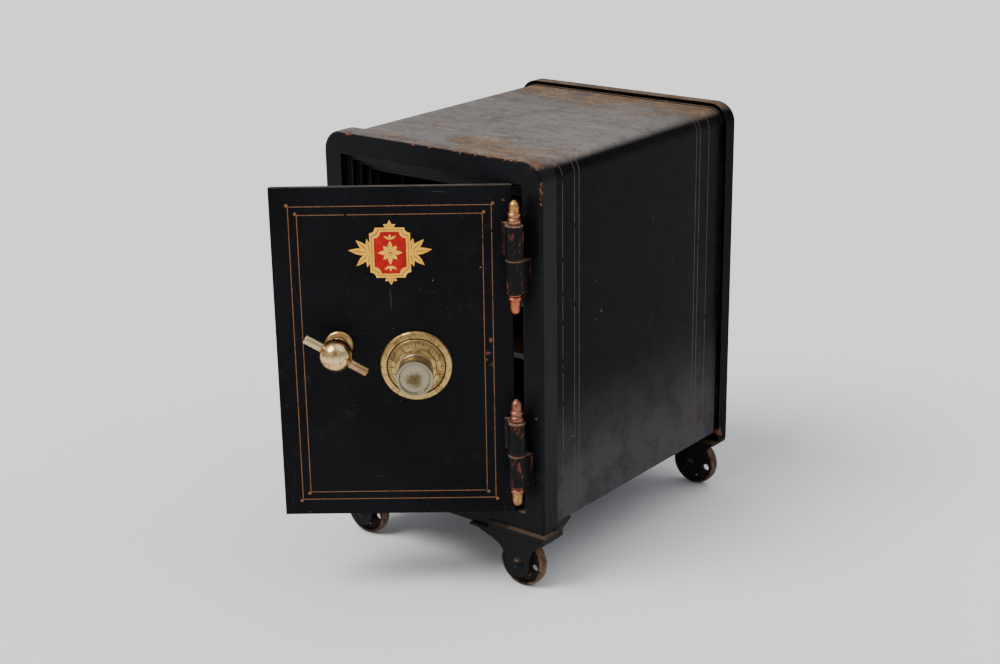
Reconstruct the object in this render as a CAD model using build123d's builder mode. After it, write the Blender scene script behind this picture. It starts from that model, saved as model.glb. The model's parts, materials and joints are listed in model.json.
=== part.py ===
"""A small antique fire safe on casters: hinged door standing open, dial lock, bolt work, wooden cabinet.

Units are millimetres. +Z is up, the door side faces -Y, and the origin is on the floor under the
middle of the body. Sketches of the body and of the door share one pair of coordinates, (x, z) seen
from the front and a depth measured back from the face of the front frame. The door's planes are the
body's planes turned about the hinge axis by DOOR_OPEN, so a door part is drawn as if the door were shut.
"""
from build123d import *
import os
from math import cos, radians, sin

os.makedirs("parts", exist_ok=True)

# ---------------------------------------------------------------- driving dimensions
FRAME_W = 335.6  # width over the front and rear frames
BODY_D = 424.0  # depth over the front and rear frames
BODY_TOP = 537.0  # top of the frames above the floor
FRAME_BOTTOM = 68.0  # underside of the frames above the floor
CORNER_R = 26.3  # rounded top corners of the frames
EDGE_R = 4.0  # rolled outer edge of each frame
FACE_T = 6.0  # thickness of the front frame's face
FRONT_FRAME_D = 28.5
REAR_FRAME_D = 22.0
REAR_FLANGE_T = 5.0
REAR_FLANGE_W = 20.0
REAR_SILL = 100.0  # lower edge of the window in the rear flange, above the floor
COLLAR_D = 4.0  # thin strip where the rear frame laps the shell
COLLAR_T = 1.0

SHELL_INSET = 6.0  # shell face behind the frames' outer face
SHELL_T = 2.0
SHELL_BOTTOM = 82.0
SHELL_FLANGE_W = 12.0
PANEL_T = 3.0
PANEL_SCREW_R = 2.0
PANEL_SCREW_X = 154.0
PANEL_SCREW_ZS = (110.0, 300.0, 490.0)
PANEL_TOP_SCREW = (80.0, 523.5)

OPEN_W = 280.6  # door opening at the front face
OPEN_BOTTOM = 100.7
OPEN_TOP = 509.5
JAMB_T = 4.0
JAMB_STEPS = ((0.0, 12.0), (8.0, 21.0), (15.0, 30.0), (22.0, 39.0), (26.0, 71.0))  # inset, depth of end
INNER_INSET = 26.0
LINER_T = 2.0
LINER_END = 364.0  # depth of the liner's back wall

CABINET_FRONT = 77.0
CABINET_END = 362.0
BOARD_T = 8.0
BACK_BOARD_T = 4.0
CABINET_GAP = 0.5
SHELF_SETBACK = 3.0  # shelves behind the front edge of the cabinet
UPPER_SHELF_Z = 331.0
LOWER_SHELF_Z = 263.0
SHELF_T = 7.0
DIVIDER_X = -6.0
DIVIDER_T = 6.0
DRAWER_FRONT = 78.0
DRAWER_END = 270.0
DRAWER_WALL = 6.0
DRAWER_FLOOR = 4.0
DRAWER_GAP = 0.5

DOOR_OPEN = 37.8  # degrees that the door stands open
HINGE_X = 141.7
HINGE_STANDOFF = 16.6  # hinge axis in front of the front frame's face
DOOR_FACE = 2.0  # depth of the door's outer face when shut
DOOR_T = 5.0
DOOR_W = 278.8
DOOR_BOTTOM = 101.9
DOOR_TOP = 508.3
PLUG_T = 3.0
PLUG_GAP = 1.5  # plug to jamb at the hinge side, top and bottom
PLUG_SWING = 1.5  # further gap at the free side, for the swing
PLUG_STEPS = ((0.0, 10.5), (8.0, 19.5), (15.0, 28.5), (22.0, 37.5))
INNER_PLATE_T = 2.0
PLATE_SCREW_XS = (-100.0, 0.0, 100.0)
PLATE_SCREW_EDGE = 36.0  # inner plate's screws from the top and bottom of the opening

KNUCKLE_R = 10.8
KNUCKLE_H = 41.0
KNUCKLE_GAP = 0.2
PIN_R = 5.0
RUNNING = 0.05  # radial clearance of a turning fit
HINGE_SPLITS = {"upper": 425.8, "lower": 185.0}

DIAL_X = 24.6
DIAL_Z = 291.8
DIAL_SPINDLE_R = 4.0
DIAL_SPINDLE_OUT = 24.0  # dial spindle in front of the door's face
DIAL_SPINDLE_END = 63.0  # depth of its inner end
KNOB_OUT = 47.4  # rim of the dial's knob in front of the door's face
GRIP_R = 22.4  # ring of the flutes' centres on the knob
HANDLE_X = -65.6
HANDLE_Z = 318.7
HANDLE_SPINDLE_R = 5.0
HANDLE_SPINDLE_OUT = 26.0
HANDLE_SLOPE = -31.0  # degrees, cross rod falling towards the hinge side
BALL_R = 19.2
BALL_OUT = 38.0  # ball centre in front of the door
ROD_R = 5.8
ROD_L = 82.5

BOLT_R = 7.0
BOLT_DEPTH = 50.5
BOLT_TIP_X = -107.3
BOLT_TAIL_X = -72.3
BOLT_HOLE_GAP = 1.0  # radial room of a bolt in its jamb hole
BOLT_POCKET_D = 8.0  # pocket in the fill behind each jamb hole
BOLT_HEIGHTS = {"upper_bolt": 410.0, "middle_bolt": 305.0, "lower_bolt": 200.0}
BAR_NEAR = 40.0  # depth of the bolt bar's outer face
BAR_FAR = 45.0
BAR_W = 10.0
BAR_ZS = (190.0, 420.0)
CAM_ARM = (-50.0, 325.7, 342.0)  # arm with the cam's slot: end in x, and its two edges in z
LOCK_ARM_ZS = (353.0, 361.0)  # edges of the arm that the lock bolt blocks
TAB_XS = (29.7, 35.7)
TAB_BOTTOM = 341.0
TAB_FAR = 52.0
CAM_R = 16.0  # throw of the bolt cam's pin
CAM_REST = 30.0  # degrees from upright to the pin at rest
CAM_NEAR = 46.0
CAM_FAR = 51.0
CAM_PIN_R = 3.0
CAM_SLOT_GAP = 0.35
GUIDE_X = -106.3
GUIDE_T = 6.0
GUIDE_END = 60.0
GUIDE_HALF_H = 12.0
GUIDE_FOOT_T = 3.0
GUIDE_SCREW_RISE = 17.5  # guide screws above and below each bolt

LOCK_HALF_W = 36.0
LOCK_HALF_H = 44.0
LOCK_END = 65.0
LOCK_WALL = 2.5
LOCK_COVER_T = 2.0
LOCK_BOLT_W = 8.0
LOCK_BOLT_NEAR = 42.6
LOCK_BOLT_FAR = 50.6
LOCK_BOLT_BOTTOM = 315.0
LEVER_TOP = 322.0
LEVER_NOSE_BOTTOM = 314.5
LEVER_REACH = 17.0  # lever's end to the free side of the dial's axis
DRIVE_CAM_R = 22.0
DRIVE_CAM_DEPTH = 47.0
DRIVE_CAM_T = 4.0
COMBO_R = 24.0
COMBO_DEPTHS = (55.0, 59.0, 63.0)
COMBO_T = 3.0

WHEEL_R = 32.0
WHEEL_W = 13.0
WHEEL_XS = {"front": 128.5, "rear": 132.0}
AXLE_R = 4.0
WHEEL_YS = {"front": -200.5, "rear": 190.0}
CHEEK_GAP = 9.5  # wheel's middle plane to the near face of each cheek
FRONT_CHEEK_T = 5.0
REAR_CHEEK_T = 4.0
BRACKET_TOP_T = 3.0
BRACKET_REACH = 73.0  # top plate from the wheel's middle towards the middle of the body
SCREW_R = 2.5
SCREW_DEPTH = 12.0
SCREW_XS = (85.0, 158.0)
SCREW_YS = {"front": -198.0, "rear": 194.5}
LEDGE_T = 4.5
LEDGE_BEVEL = 3.0
LEDGE_BOTTOM = 67.0
LEDGE_TOP = 79.0
LEDGE_L = 82.0
SOLE_T = 3.0  # bracket's sole in front of the front frame
LEDGE_BACK = 4.0  # ledge beyond the back of the front frame

FRONT_Y = -BODY_D / 2
HINGE_Y = FRONT_Y - HINGE_STANDOFF
DOOR_SHUT_BACK = DOOR_FACE + DOOR_T
PLUG_END = PLUG_STEPS[-1][1]
INNER_PLATE_END = PLUG_END + INNER_PLATE_T
SIDES = {"left": -1, "right": 1}
PANEL_SCREWS = [(side * PANEL_SCREW_X, z) for side in SIDES.values() for z in PANEL_SCREW_ZS]
PANEL_SCREWS += [(side * PANEL_TOP_SCREW[0], PANEL_TOP_SCREW[1]) for side in SIDES.values()]
PLATE_SCREW_ZS = (OPEN_BOTTOM + PLATE_SCREW_EDGE, OPEN_TOP - PLATE_SCREW_EDGE)
COVER_SCREWS = [(DIAL_X + 30.0 * sx, DIAL_Z + 38.0 * sz) for sx in SIDES.values() for sz in SIDES.values()]
LOCK_TOP = DIAL_Z + LOCK_HALF_H

CAB_HALF = OPEN_W / 2 - INNER_INSET - CABINET_GAP
CAB_BOTTOM = OPEN_BOTTOM + INNER_INSET
CAB_TOP = OPEN_TOP - INNER_INSET - CABINET_GAP
ROOM_HALF = CAB_HALF - BOARD_T
ROOM_END = CABINET_END - BACK_BOARD_T
LOWER_SHELF_TOP = LOWER_SHELF_Z + SHELF_T
DRAWER_X0 = -ROOM_HALF + DRAWER_GAP
DRAWER_X1 = DIVIDER_X - DIVIDER_T / 2 - DRAWER_GAP
DRAWER_Z0 = LOWER_SHELF_TOP + DRAWER_GAP
DRAWER_Z1 = UPPER_SHELF_Z - 2 * DRAWER_GAP

CAM_PIN_X = HANDLE_X + CAM_R * sin(radians(CAM_REST))
CAM_PIN_Z = HANDLE_Z + CAM_R * cos(radians(CAM_REST))
CAM_PIN_RISE = CAM_R - CAM_R * cos(radians(CAM_REST))

# ---------------------------------------------------------------- planes of the body and of the door
ALONG = Vector(cos(radians(DOOR_OPEN)), sin(radians(DOOR_OPEN)), 0)  # door's width, to the hinge
INWARD = Vector(-sin(radians(DOOR_OPEN)), cos(radians(DOOR_OPEN)), 0)  # door's face to its back
UP = Vector(0, 0, 1)
HINGE = Vector(HINGE_X, HINGE_Y, 0)


def door_point(x, depth, z):
    """The place of a point given by its coordinates with the door shut."""
    return HINGE + ALONG * (x - HINGE_X) + INWARD * (depth + HINGE_STANDOFF) + UP * z


def front_plane(depth):
    """Plane across the body: local x, z; its normal points forwards."""
    return Plane(origin=(0, FRONT_Y + depth, 0), x_dir=(1, 0, 0), z_dir=(0, -1, 0))


def door_plane(depth):
    """Plane across the door: local x, z; its normal points out of the door's face."""
    return Plane(origin=door_point(0, depth, 0), x_dir=ALONG, z_dir=INWARD * -1)


def body_level(z):
    """Level plane of the body: local x, depth."""
    return Plane(origin=(0, FRONT_Y, z), x_dir=(1, 0, 0), z_dir=(0, 0, 1))


def door_level(z):
    """Level plane of the door: local x, depth."""
    return Plane(origin=door_point(0, 0, z), x_dir=ALONG, z_dir=UP)


def door_across(x):
    """Plane square to the door's width: local depth, z; its normal points to the hinge."""
    return Plane(origin=door_point(x, 0, 0), x_dir=INWARD, z_dir=ALONG)


def spindle_plane(x, z):
    """Lathe plane of a spindle through the door: local radius, distance in front of the door's face."""
    return Plane(origin=door_point(x, DOOR_FACE, z), x_dir=ALONG, z_dir=UP * -1)


# ---------------------------------------------------------------- shared outlines and helpers
def save(piece, name):
    """Label a finished piece and write it."""
    piece.part.label = name
    export_step(piece.part, f"parts/{name}.step")


def arched_outline(half, bottom, top, radius, mode=Mode.ADD):
    """Upright rectangle with two rounded top corners."""
    with BuildLine() as outline:
        foot = Polyline((-half, top - radius), (-half, bottom), (half, bottom), (half, top - radius))
        crown = Line((half - radius, top), (radius - half, top))
        RadiusArc(foot @ 1, crown @ 0, -radius)
        RadiusArc(crown @ 1, foot @ 0, -radius)
    make_face(outline.edges(), mode=mode)


def frame_outline(mode=Mode.ADD):
    """Outside of the front and rear frames."""
    arched_outline(FRAME_W / 2, FRAME_BOTTOM, BODY_TOP, CORNER_R, mode)


def shell_outline(inset=0.0, mode=Mode.ADD):
    """Outside of the sheet shell, or a parallel outline further in."""
    gap = SHELL_INSET + inset
    arched_outline(FRAME_W / 2 - gap, SHELL_BOTTOM + inset, BODY_TOP - gap, CORNER_R - gap, mode)


def box_between(x0, x1, z0, z1, mode=Mode.ADD):
    """Rectangle given by its sides."""
    with Locations(((x0 + x1) / 2, (z0 + z1) / 2)):
        Rectangle(x1 - x0, z1 - z0, mode=mode)


def opening_outline(inset, mode=Mode.ADD):
    """Door opening, or a rectangle further in."""
    half = OPEN_W / 2 - inset
    box_between(-half, half, OPEN_BOTTOM + inset, OPEN_TOP - inset, mode)


def plug_outline(inset, mode=Mode.ADD):
    """Outline of one step of the door's plug, with its running gaps to the jamb."""
    half = OPEN_W / 2 - inset - PLUG_GAP
    box_between(-half + PLUG_SWING, half, OPEN_BOTTOM + inset + PLUG_GAP, OPEN_TOP - inset - PLUG_GAP, mode)


def stepped_ring(plane, outline, steps, start, wall, outward):
    """Folded ring that steps inwards as it goes back; outward is the side of the outline the wall is on."""
    outer_shift = -wall if outward else 0.0
    inner_shift = 0.0 if outward else wall
    for index, (inset, end) in enumerate(steps):
        with BuildSketch(plane(start)) as wall_section:
            outline(inset + outer_shift)
            outline(inset + inner_shift, Mode.SUBTRACT)
        extrude(wall_section.sketch, amount=start - end)
        if index + 1 < len(steps):
            next_inset = steps[index + 1][0]
            with BuildSketch(plane(end if outward else end - wall)) as shelf_section:
                outline(inset + outer_shift)
                outline(next_inset + inner_shift, Mode.SUBTRACT)
            extrude(shelf_section.sketch, amount=-wall)
        start = end


def lathe(plane, profile):
    """Turn a closed profile of (radius, height) points about the plane's local y axis."""
    with BuildSketch(plane) as section:
        with BuildLine():
            Polyline(*profile, close=True)
        make_face()
    revolve(section.sketch, axis=Axis(plane.origin, plane.y_dir))


def edges_of_face(piece, axis, index):
    """Outer edges of the first or last face along an axis."""
    return piece.faces().sort_by(axis)[index].outer_wire().edges()


# ---------------------------------------------------------------- body: frames, shell and panels
def caster_screw_places(row):
    """Places of the two screws that hold each caster bracket of one row, on both sides."""
    return [(side * x, SCREW_YS[row]) for side in SIDES.values() for x in SCREW_XS]


def make_front_frame():
    with BuildPart() as front_frame:
        with BuildSketch(front_plane(0)):
            frame_outline()
            opening_outline(0, Mode.SUBTRACT)
        extrude(amount=-FACE_T)
        with BuildSketch(front_plane(FACE_T)):
            frame_outline()
            shell_outline(0, Mode.SUBTRACT)
        extrude(amount=FACE_T - FRONT_FRAME_D)
        fillet(edges_of_face(front_frame, Axis.Y, 0), EDGE_R)
        with BuildSketch(Plane.XY.offset(FRAME_BOTTOM)):
            with Locations(*caster_screw_places("front")):
                Circle(SCREW_R)
        extrude(amount=SCREW_DEPTH, mode=Mode.SUBTRACT)
    save(front_frame, "front_frame")


def make_rear_frame():
    start = BODY_D - REAR_FRAME_D
    with BuildPart() as rear_frame:
        with BuildSketch(front_plane(start)):
            frame_outline()
            shell_outline(0, Mode.SUBTRACT)
        extrude(amount=-REAR_FRAME_D)
        with BuildSketch(front_plane(BODY_D - REAR_FLANGE_T)):
            frame_outline()
            window_half = FRAME_W / 2 - REAR_FLANGE_W
            arched_outline(window_half, REAR_SILL, BODY_TOP - REAR_FLANGE_W, EDGE_R, Mode.SUBTRACT)
        extrude(amount=-REAR_FLANGE_T)
        fillet(edges_of_face(rear_frame, Axis.Y, -1), EDGE_R)
        with BuildSketch(front_plane(start - COLLAR_D)):
            shell_outline(-COLLAR_T)
            shell_outline(0, Mode.SUBTRACT)
        extrude(amount=-COLLAR_D)
        with BuildSketch(front_plane(BODY_D)):
            with Locations(*PANEL_SCREWS):
                Circle(PANEL_SCREW_R)
        extrude(amount=REAR_FLANGE_T, mode=Mode.SUBTRACT)
        with BuildSketch(Plane.XY.offset(FRAME_BOTTOM)):
            with Locations(*caster_screw_places("rear")):
                Circle(SCREW_R)
        extrude(amount=SCREW_DEPTH, mode=Mode.SUBTRACT)
    save(rear_frame, "rear_frame")


def make_outer_shell():
    with BuildPart() as outer_shell:
        with BuildSketch(front_plane(FACE_T)):
            shell_outline()
            shell_outline(SHELL_T, Mode.SUBTRACT)
            inside = FRAME_W / 2 - SHELL_INSET - SHELL_FLANGE_W
            box_between(-inside, inside, SHELL_BOTTOM - 1, SHELL_BOTTOM + SHELL_T, Mode.SUBTRACT)
        extrude(amount=FACE_T + REAR_FLANGE_T + PANEL_T - BODY_D)
    save(outer_shell, "outer_shell")


def make_bottom_plate():
    half = FRAME_W / 2 - SHELL_INSET - SHELL_T
    end = BODY_D - REAR_FLANGE_T - PANEL_T
    with BuildPart() as bottom_plate:
        with BuildSketch(body_level(SHELL_BOTTOM + SHELL_T)):
            box_between(-half, half, FACE_T, end)
        extrude(amount=SHELL_T)
    save(bottom_plate, "bottom_plate")


def make_back_panel():
    with BuildPart() as back_panel:
        with BuildSketch(front_plane(BODY_D - REAR_FLANGE_T)):
            shell_outline()
            with Locations(*PANEL_SCREWS):
                Circle(PANEL_SCREW_R, mode=Mode.SUBTRACT)
        extrude(amount=PANEL_T)
    save(back_panel, "back_panel")


def make_back_panel_screws():
    head_r = 4.2
    head_h = 2.2
    with BuildPart() as back_panel_screws:
        with BuildSketch(front_plane(BODY_D)):
            with Locations(*PANEL_SCREWS):
                Circle(PANEL_SCREW_R)
        extrude(amount=REAR_FLANGE_T + PANEL_T)
        with BuildSketch(front_plane(BODY_D)):
            with Locations(*PANEL_SCREWS):
                Circle(head_r)
        extrude(amount=-head_h, taper=25)
    save(back_panel_screws, "back_panel_screws")


def cut_bolt_holes(wall_x, depth):
    """Round holes in the free-side jamb that take the three bolts."""
    with BuildSketch(Plane(origin=(wall_x, FRONT_Y, 0), x_dir=(0, 1, 0), z_dir=(1, 0, 0))) as holes:
        with Locations(*[(BOLT_DEPTH, z) for z in BOLT_HEIGHTS.values()]):
            Circle(BOLT_R + BOLT_HOLE_GAP)
    extrude(holes.sketch, amount=-depth, mode=Mode.SUBTRACT)


def make_jamb_frame():
    with BuildPart() as jamb_frame:
        stepped_ring(front_plane, opening_outline, JAMB_STEPS, FACE_T, JAMB_T, True)
        cut_bolt_holes(-OPEN_W / 2 + INNER_INSET, JAMB_T)
    save(jamb_frame, "jamb_frame")


def make_inner_liner():
    start = JAMB_STEPS[-1][1]
    with BuildPart() as inner_liner:
        with BuildSketch(front_plane(start)):
            opening_outline(INNER_INSET - LINER_T)
        extrude(amount=start - LINER_END - LINER_T)
        with BuildSketch(front_plane(start)):
            opening_outline(INNER_INSET)
        extrude(amount=start - LINER_END, mode=Mode.SUBTRACT)
    save(inner_liner, "inner_liner")


def make_insulation():
    end = BODY_D - REAR_FLANGE_T - PANEL_T
    with BuildPart() as insulation:
        with BuildSketch(front_plane(FACE_T)):
            half = FRAME_W / 2 - SHELL_INSET - SHELL_T
            top = BODY_TOP - SHELL_INSET - SHELL_T
            arched_outline(half, SHELL_BOTTOM + 2 * SHELL_T, top, CORNER_R - SHELL_INSET - SHELL_T)
        extrude(amount=FACE_T - end)
        start = FACE_T
        for inset, step_end in JAMB_STEPS[:-1]:
            with BuildSketch(front_plane(start)):
                opening_outline(inset - JAMB_T)
            extrude(amount=start - step_end - JAMB_T, mode=Mode.SUBTRACT)
            start = step_end
        with BuildSketch(front_plane(start)):
            opening_outline(INNER_INSET - JAMB_T)
        extrude(amount=start - JAMB_STEPS[-1][1], mode=Mode.SUBTRACT)
        with BuildSketch(front_plane(JAMB_STEPS[-1][1])):
            opening_outline(INNER_INSET - LINER_T)
        extrude(amount=JAMB_STEPS[-1][1] - LINER_END - LINER_T, mode=Mode.SUBTRACT)
        cut_bolt_holes(-OPEN_W / 2 + INNER_INSET - JAMB_T, BOLT_POCKET_D)
    save(insulation, "insulation")


# ---------------------------------------------------------------- body: wooden cabinet and drawer
def make_board(name, plane, x0, x1, y0, y1, thickness):
    """One flat board."""
    with BuildPart() as board:
        with BuildSketch(plane):
            box_between(x0, x1, y0, y1)
        extrude(amount=thickness)
    save(board, name)


def make_cabinet():
    with BuildPart() as cabinet_case:
        with BuildSketch(front_plane(CABINET_FRONT)):
            box_between(-CAB_HALF, CAB_HALF, CAB_BOTTOM, CAB_TOP)
        extrude(amount=CABINET_FRONT - CABINET_END)
        with BuildSketch(front_plane(CABINET_FRONT)):
            box_between(-ROOM_HALF, ROOM_HALF, CAB_BOTTOM + BOARD_T, CAB_TOP - BOARD_T)
        extrude(amount=CABINET_FRONT - ROOM_END, mode=Mode.SUBTRACT)
    save(cabinet_case, "cabinet_case")
    front = CABINET_FRONT + SHELF_SETBACK
    shelf = (-ROOM_HALF, ROOM_HALF, front, ROOM_END, SHELF_T)
    make_board("upper_shelf", body_level(UPPER_SHELF_Z), *shelf)
    make_board("lower_shelf", body_level(LOWER_SHELF_Z), *shelf)
    divider = (DIVIDER_X - DIVIDER_T / 2, DIVIDER_X + DIVIDER_T / 2, front, ROOM_END)
    make_board("shelf_divider", body_level(LOWER_SHELF_TOP), *divider, UPPER_SHELF_Z - LOWER_SHELF_TOP)


def make_drawer():
    with BuildPart() as cash_drawer:
        with BuildSketch(front_plane(DRAWER_FRONT)):
            box_between(DRAWER_X0, DRAWER_X1, DRAWER_Z0, DRAWER_Z1)
        extrude(amount=DRAWER_FRONT - DRAWER_END)
        with BuildSketch(body_level(DRAWER_Z0 + DRAWER_FLOOR)):
            inside = (DRAWER_X0 + DRAWER_WALL, DRAWER_X1 - DRAWER_WALL)
            box_between(*inside, DRAWER_FRONT + BOARD_T, DRAWER_END - DRAWER_WALL)
        extrude(amount=DRAWER_Z1 - DRAWER_Z0, mode=Mode.SUBTRACT)
        fillet(edges_of_face(cash_drawer, Axis.Y, 0), 1.5)
    save(cash_drawer, "cash_drawer")
    centre = ((DRAWER_X0 + DRAWER_X1) / 2, FRONT_Y + DRAWER_FRONT, (DRAWER_Z0 + DRAWER_Z1) / 2)
    with BuildPart() as drawer_knob:
        profile = ((0, 0), (4.5, 0), (3.2, 2), (3.2, 4), (6.5, 6), (7.2, 8), (6.5, 10), (3, 11.5), (0, 12))
        lathe(Plane(origin=centre, x_dir=(1, 0, 0), z_dir=(0, 0, -1)), profile)
    save(drawer_knob, "drawer_knob")


# ---------------------------------------------------------------- hinges
def make_knuckle(name, level, z0, foot, bore_r):
    """One cast knuckle: a barrel blended into the foot that fastens it."""
    height = KNUCKLE_H - KNUCKLE_GAP
    bevel = 1.4
    with BuildPart() as knuckle:
        with BuildSketch(level(z0 + bevel)):
            with BuildLine():
                Polyline(*foot, close=True)
            make_face()
        extrude(amount=height - 2 * bevel)
        barrel = (
            (0, 0), (KNUCKLE_R - bevel, 0), (KNUCKLE_R, bevel), (KNUCKLE_R, height - bevel),
            (KNUCKLE_R - bevel, height), (0, height),
        )
        lathe(Plane(origin=(HINGE_X, HINGE_Y, z0), x_dir=(1, 0, 0), z_dir=(0, -1, 0)), barrel)
        with BuildSketch(Plane(origin=(HINGE_X, HINGE_Y, z0))):
            Circle(bore_r)
        extrude(amount=height, mode=Mode.SUBTRACT)
    save(knuckle, name)


def make_hinge(where, split):
    """Body knuckle below, door knuckle above, and a loose pin with a turned finial at each end."""
    axis_d = -HINGE_STANDOFF
    body_foot = (
        (141.0, 0), (152.5, 0), (152.5, -4.5), (HINGE_X + KNUCKLE_R - 0.1, axis_d + 2), (HINGE_X - 5, axis_d)
    )
    door_foot = (
        (127.6, DOOR_FACE), (138.8, DOOR_FACE), (144.0, axis_d), (HINGE_X - KNUCKLE_R + 0.1, axis_d + 1),
        (130.5, -2.0), (127.6, -1.5),
    )
    make_knuckle(f"{where}_body_hinge", body_level, split - KNUCKLE_H, body_foot, PIN_R)
    make_knuckle(f"{where}_door_hinge", door_level, split + KNUCKLE_GAP, door_foot, PIN_R + RUNNING)
    top = KNUCKLE_H + 0.3
    bottom = -KNUCKLE_H - 0.3
    ring_r = 8.5
    dome_r = 6.2
    with BuildPart() as hinge_pin:
        profile = (
            (0, bottom - 25), (3.0, bottom - 24.4), (5.2, bottom - 22), (dome_r, bottom - 18),
            (dome_r, bottom - 9.2), (7.2, bottom - 8.4), (ring_r, bottom - 6), (ring_r, bottom - 4.8),
            (7.4, bottom - 3.2), (6.8, bottom - 2.6), (7.9, bottom - 1.4), (7.9, bottom - 0.6),
            (7.2, bottom), (PIN_R, bottom), (PIN_R, top), (7.4, top), (8.3, top + 2.6), (ring_r, top + 4.2),
            (7.9, top + 6.2), (6.6, top + 7.6), (6.6, top + 8.6), (7.6, top + 9.6), (8.2, top + 11.2),
            (8.1, top + 12.6), (7.0, top + 14), (dome_r, top + 14.6), (dome_r, top + 22),
            (5.7, top + 24.4), (3.6, top + 26.8), (1.4, top + 28.4), (0, top + 28.8),
        )
        lathe(Plane(origin=(HINGE_X, HINGE_Y, split), x_dir=(1, 0, 0), z_dir=(0, -1, 0)), profile)
    save(hinge_pin, f"{where}_hinge_pin")


# ---------------------------------------------------------------- door: plate, plug and insulation
def drill_spindles(depth_from, depth_to, clearance):
    """Holes for the dial's and the handle's spindles between two depths of the door."""
    with BuildSketch(door_plane(depth_from)) as holes:
        with Locations((DIAL_X, DIAL_Z)):
            Circle(DIAL_SPINDLE_R + clearance)
        with Locations((HANDLE_X, HANDLE_Z)):
            Circle(HANDLE_SPINDLE_R + clearance)
    extrude(holes.sketch, amount=depth_from - depth_to, mode=Mode.SUBTRACT)


def make_door_plate():
    with BuildPart() as door_plate:
        with BuildSketch(door_plane(DOOR_FACE)):
            box_between(-DOOR_W / 2, DOOR_W / 2, DOOR_BOTTOM, DOOR_TOP)
        extrude(amount=-DOOR_T)
        fillet(door_plate.edges().filter_by(Axis.Z), 1.2)
        drill_spindles(DOOR_FACE, DOOR_SHUT_BACK, RUNNING)
    save(door_plate, "door_plate")


def make_door_step_frame():
    with BuildPart() as door_step_frame:
        stepped_ring(door_plane, plug_outline, PLUG_STEPS, DOOR_SHUT_BACK, PLUG_T, False)
    save(door_step_frame, "door_step_frame")


def make_door_insulation():
    with BuildPart() as door_insulation:
        start = DOOR_SHUT_BACK
        for index, (inset, end) in enumerate(PLUG_STEPS):
            last = index + 1 == len(PLUG_STEPS)
            stop = end if last else end - PLUG_T
            with BuildSketch(door_plane(start)):
                plug_outline(inset + PLUG_T)
            extrude(amount=start - stop)
            start = stop
        drill_spindles(DOOR_SHUT_BACK, PLUG_END, 2.0)
    save(door_insulation, "door_insulation")


def make_door_inner_plate():
    with BuildPart() as door_inner_plate:
        with BuildSketch(door_plane(PLUG_END)):
            plug_outline(INNER_INSET + 1.0)
        extrude(amount=-INNER_PLATE_T)
        drill_spindles(PLUG_END, INNER_PLATE_END, RUNNING)
    save(door_inner_plate, "door_inner_plate")
    with BuildPart() as inner_plate_screws:
        with BuildSketch(door_plane(INNER_PLATE_END)):
            with Locations(*[(x, z) for x in PLATE_SCREW_XS for z in PLATE_SCREW_ZS]):
                Circle(4.0)
        extrude(amount=-2.0, taper=20)
    save(inner_plate_screws, "inner_plate_screws")


# ---------------------------------------------------------------- door: handle and bolt work
def make_handle():
    plane = spindle_plane(HANDLE_X, HANDLE_Z)
    with BuildPart() as handle_escutcheon:
        bore = HANDLE_SPINDLE_R + RUNNING
        lathe(plane, ((bore, 0), (16.6, 0), (16.6, 2.2), (15.4, 3.4), (11.5, 4.6), (bore, 5.2)))
    save(handle_escutcheon, "handle_escutcheon")
    rod_dir = ALONG * cos(radians(HANDLE_SLOPE)) + UP * sin(radians(HANDLE_SLOPE))
    ball = door_point(HANDLE_X, DOOR_FACE - BALL_OUT, HANDLE_Z)
    rod_plane = Plane(origin=ball - rod_dir * (ROD_L / 2), x_dir=INWARD, z_dir=rod_dir)
    with BuildPart() as handle_ball:
        bore = HANDLE_SPINDLE_R
        lathe(plane, ((bore, 6), (10.5, 6), (10.5, 8), (8.2, 10), (8.2, 24), (bore, 24)))
        with BuildSketch(Plane(origin=ball, x_dir=INWARD * -1, z_dir=UP)):
            with BuildLine():
                Line((-BALL_R, 0), (BALL_R, 0))
                CenterArc((0, 0), BALL_R, 0, 180)
            make_face()
        revolve(axis=Axis(ball, INWARD * -1))
        with BuildSketch(plane_at_spindle_end()):
            Circle(HANDLE_SPINDLE_R)
        extrude(amount=-HANDLE_SPINDLE_OUT, mode=Mode.SUBTRACT)
        with BuildSketch(rod_plane):
            Circle(ROD_R)
        extrude(amount=ROD_L, mode=Mode.SUBTRACT)
    save(handle_ball, "handle_ball")
    with BuildPart() as handle_rod:
        with BuildSketch(rod_plane):
            Circle(ROD_R)
        extrude(amount=ROD_L)
        fillet(handle_rod.edges().filter_by(GeomType.CIRCLE), 1.6)
    save(handle_rod, "handle_rod")
    with BuildPart() as handle_spindle:
        with BuildSketch(plane_at_spindle_end()):
            Circle(HANDLE_SPINDLE_R)
        extrude(amount=DOOR_FACE - CAM_FAR - HANDLE_SPINDLE_OUT)
    save(handle_spindle, "handle_spindle")


def plane_at_spindle_end():
    """Plane at the handle spindle's outer end, centred on the spindle."""
    end = door_point(HANDLE_X, DOOR_FACE - HANDLE_SPINDLE_OUT, HANDLE_Z)
    return Plane(origin=end, x_dir=ALONG, z_dir=INWARD * -1)


def make_bolt_cam():
    with BuildPart() as bolt_cam:
        with BuildSketch(door_plane(CAM_NEAR)):
            with Locations((HANDLE_X, HANDLE_Z)):
                Circle(9.5)
            with Locations((CAM_PIN_X, CAM_PIN_Z)):
                Circle(6.0)
            make_hull()
            with Locations((HANDLE_X, HANDLE_Z)):
                Circle(HANDLE_SPINDLE_R, mode=Mode.SUBTRACT)
        extrude(amount=CAM_NEAR - CAM_FAR)
        with BuildSketch(door_plane(CAM_NEAR)):
            with Locations((CAM_PIN_X, CAM_PIN_Z)):
                Circle(CAM_PIN_R)
        extrude(amount=CAM_NEAR - BAR_NEAR - 0.6)
    save(bolt_cam, "bolt_cam")


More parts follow.
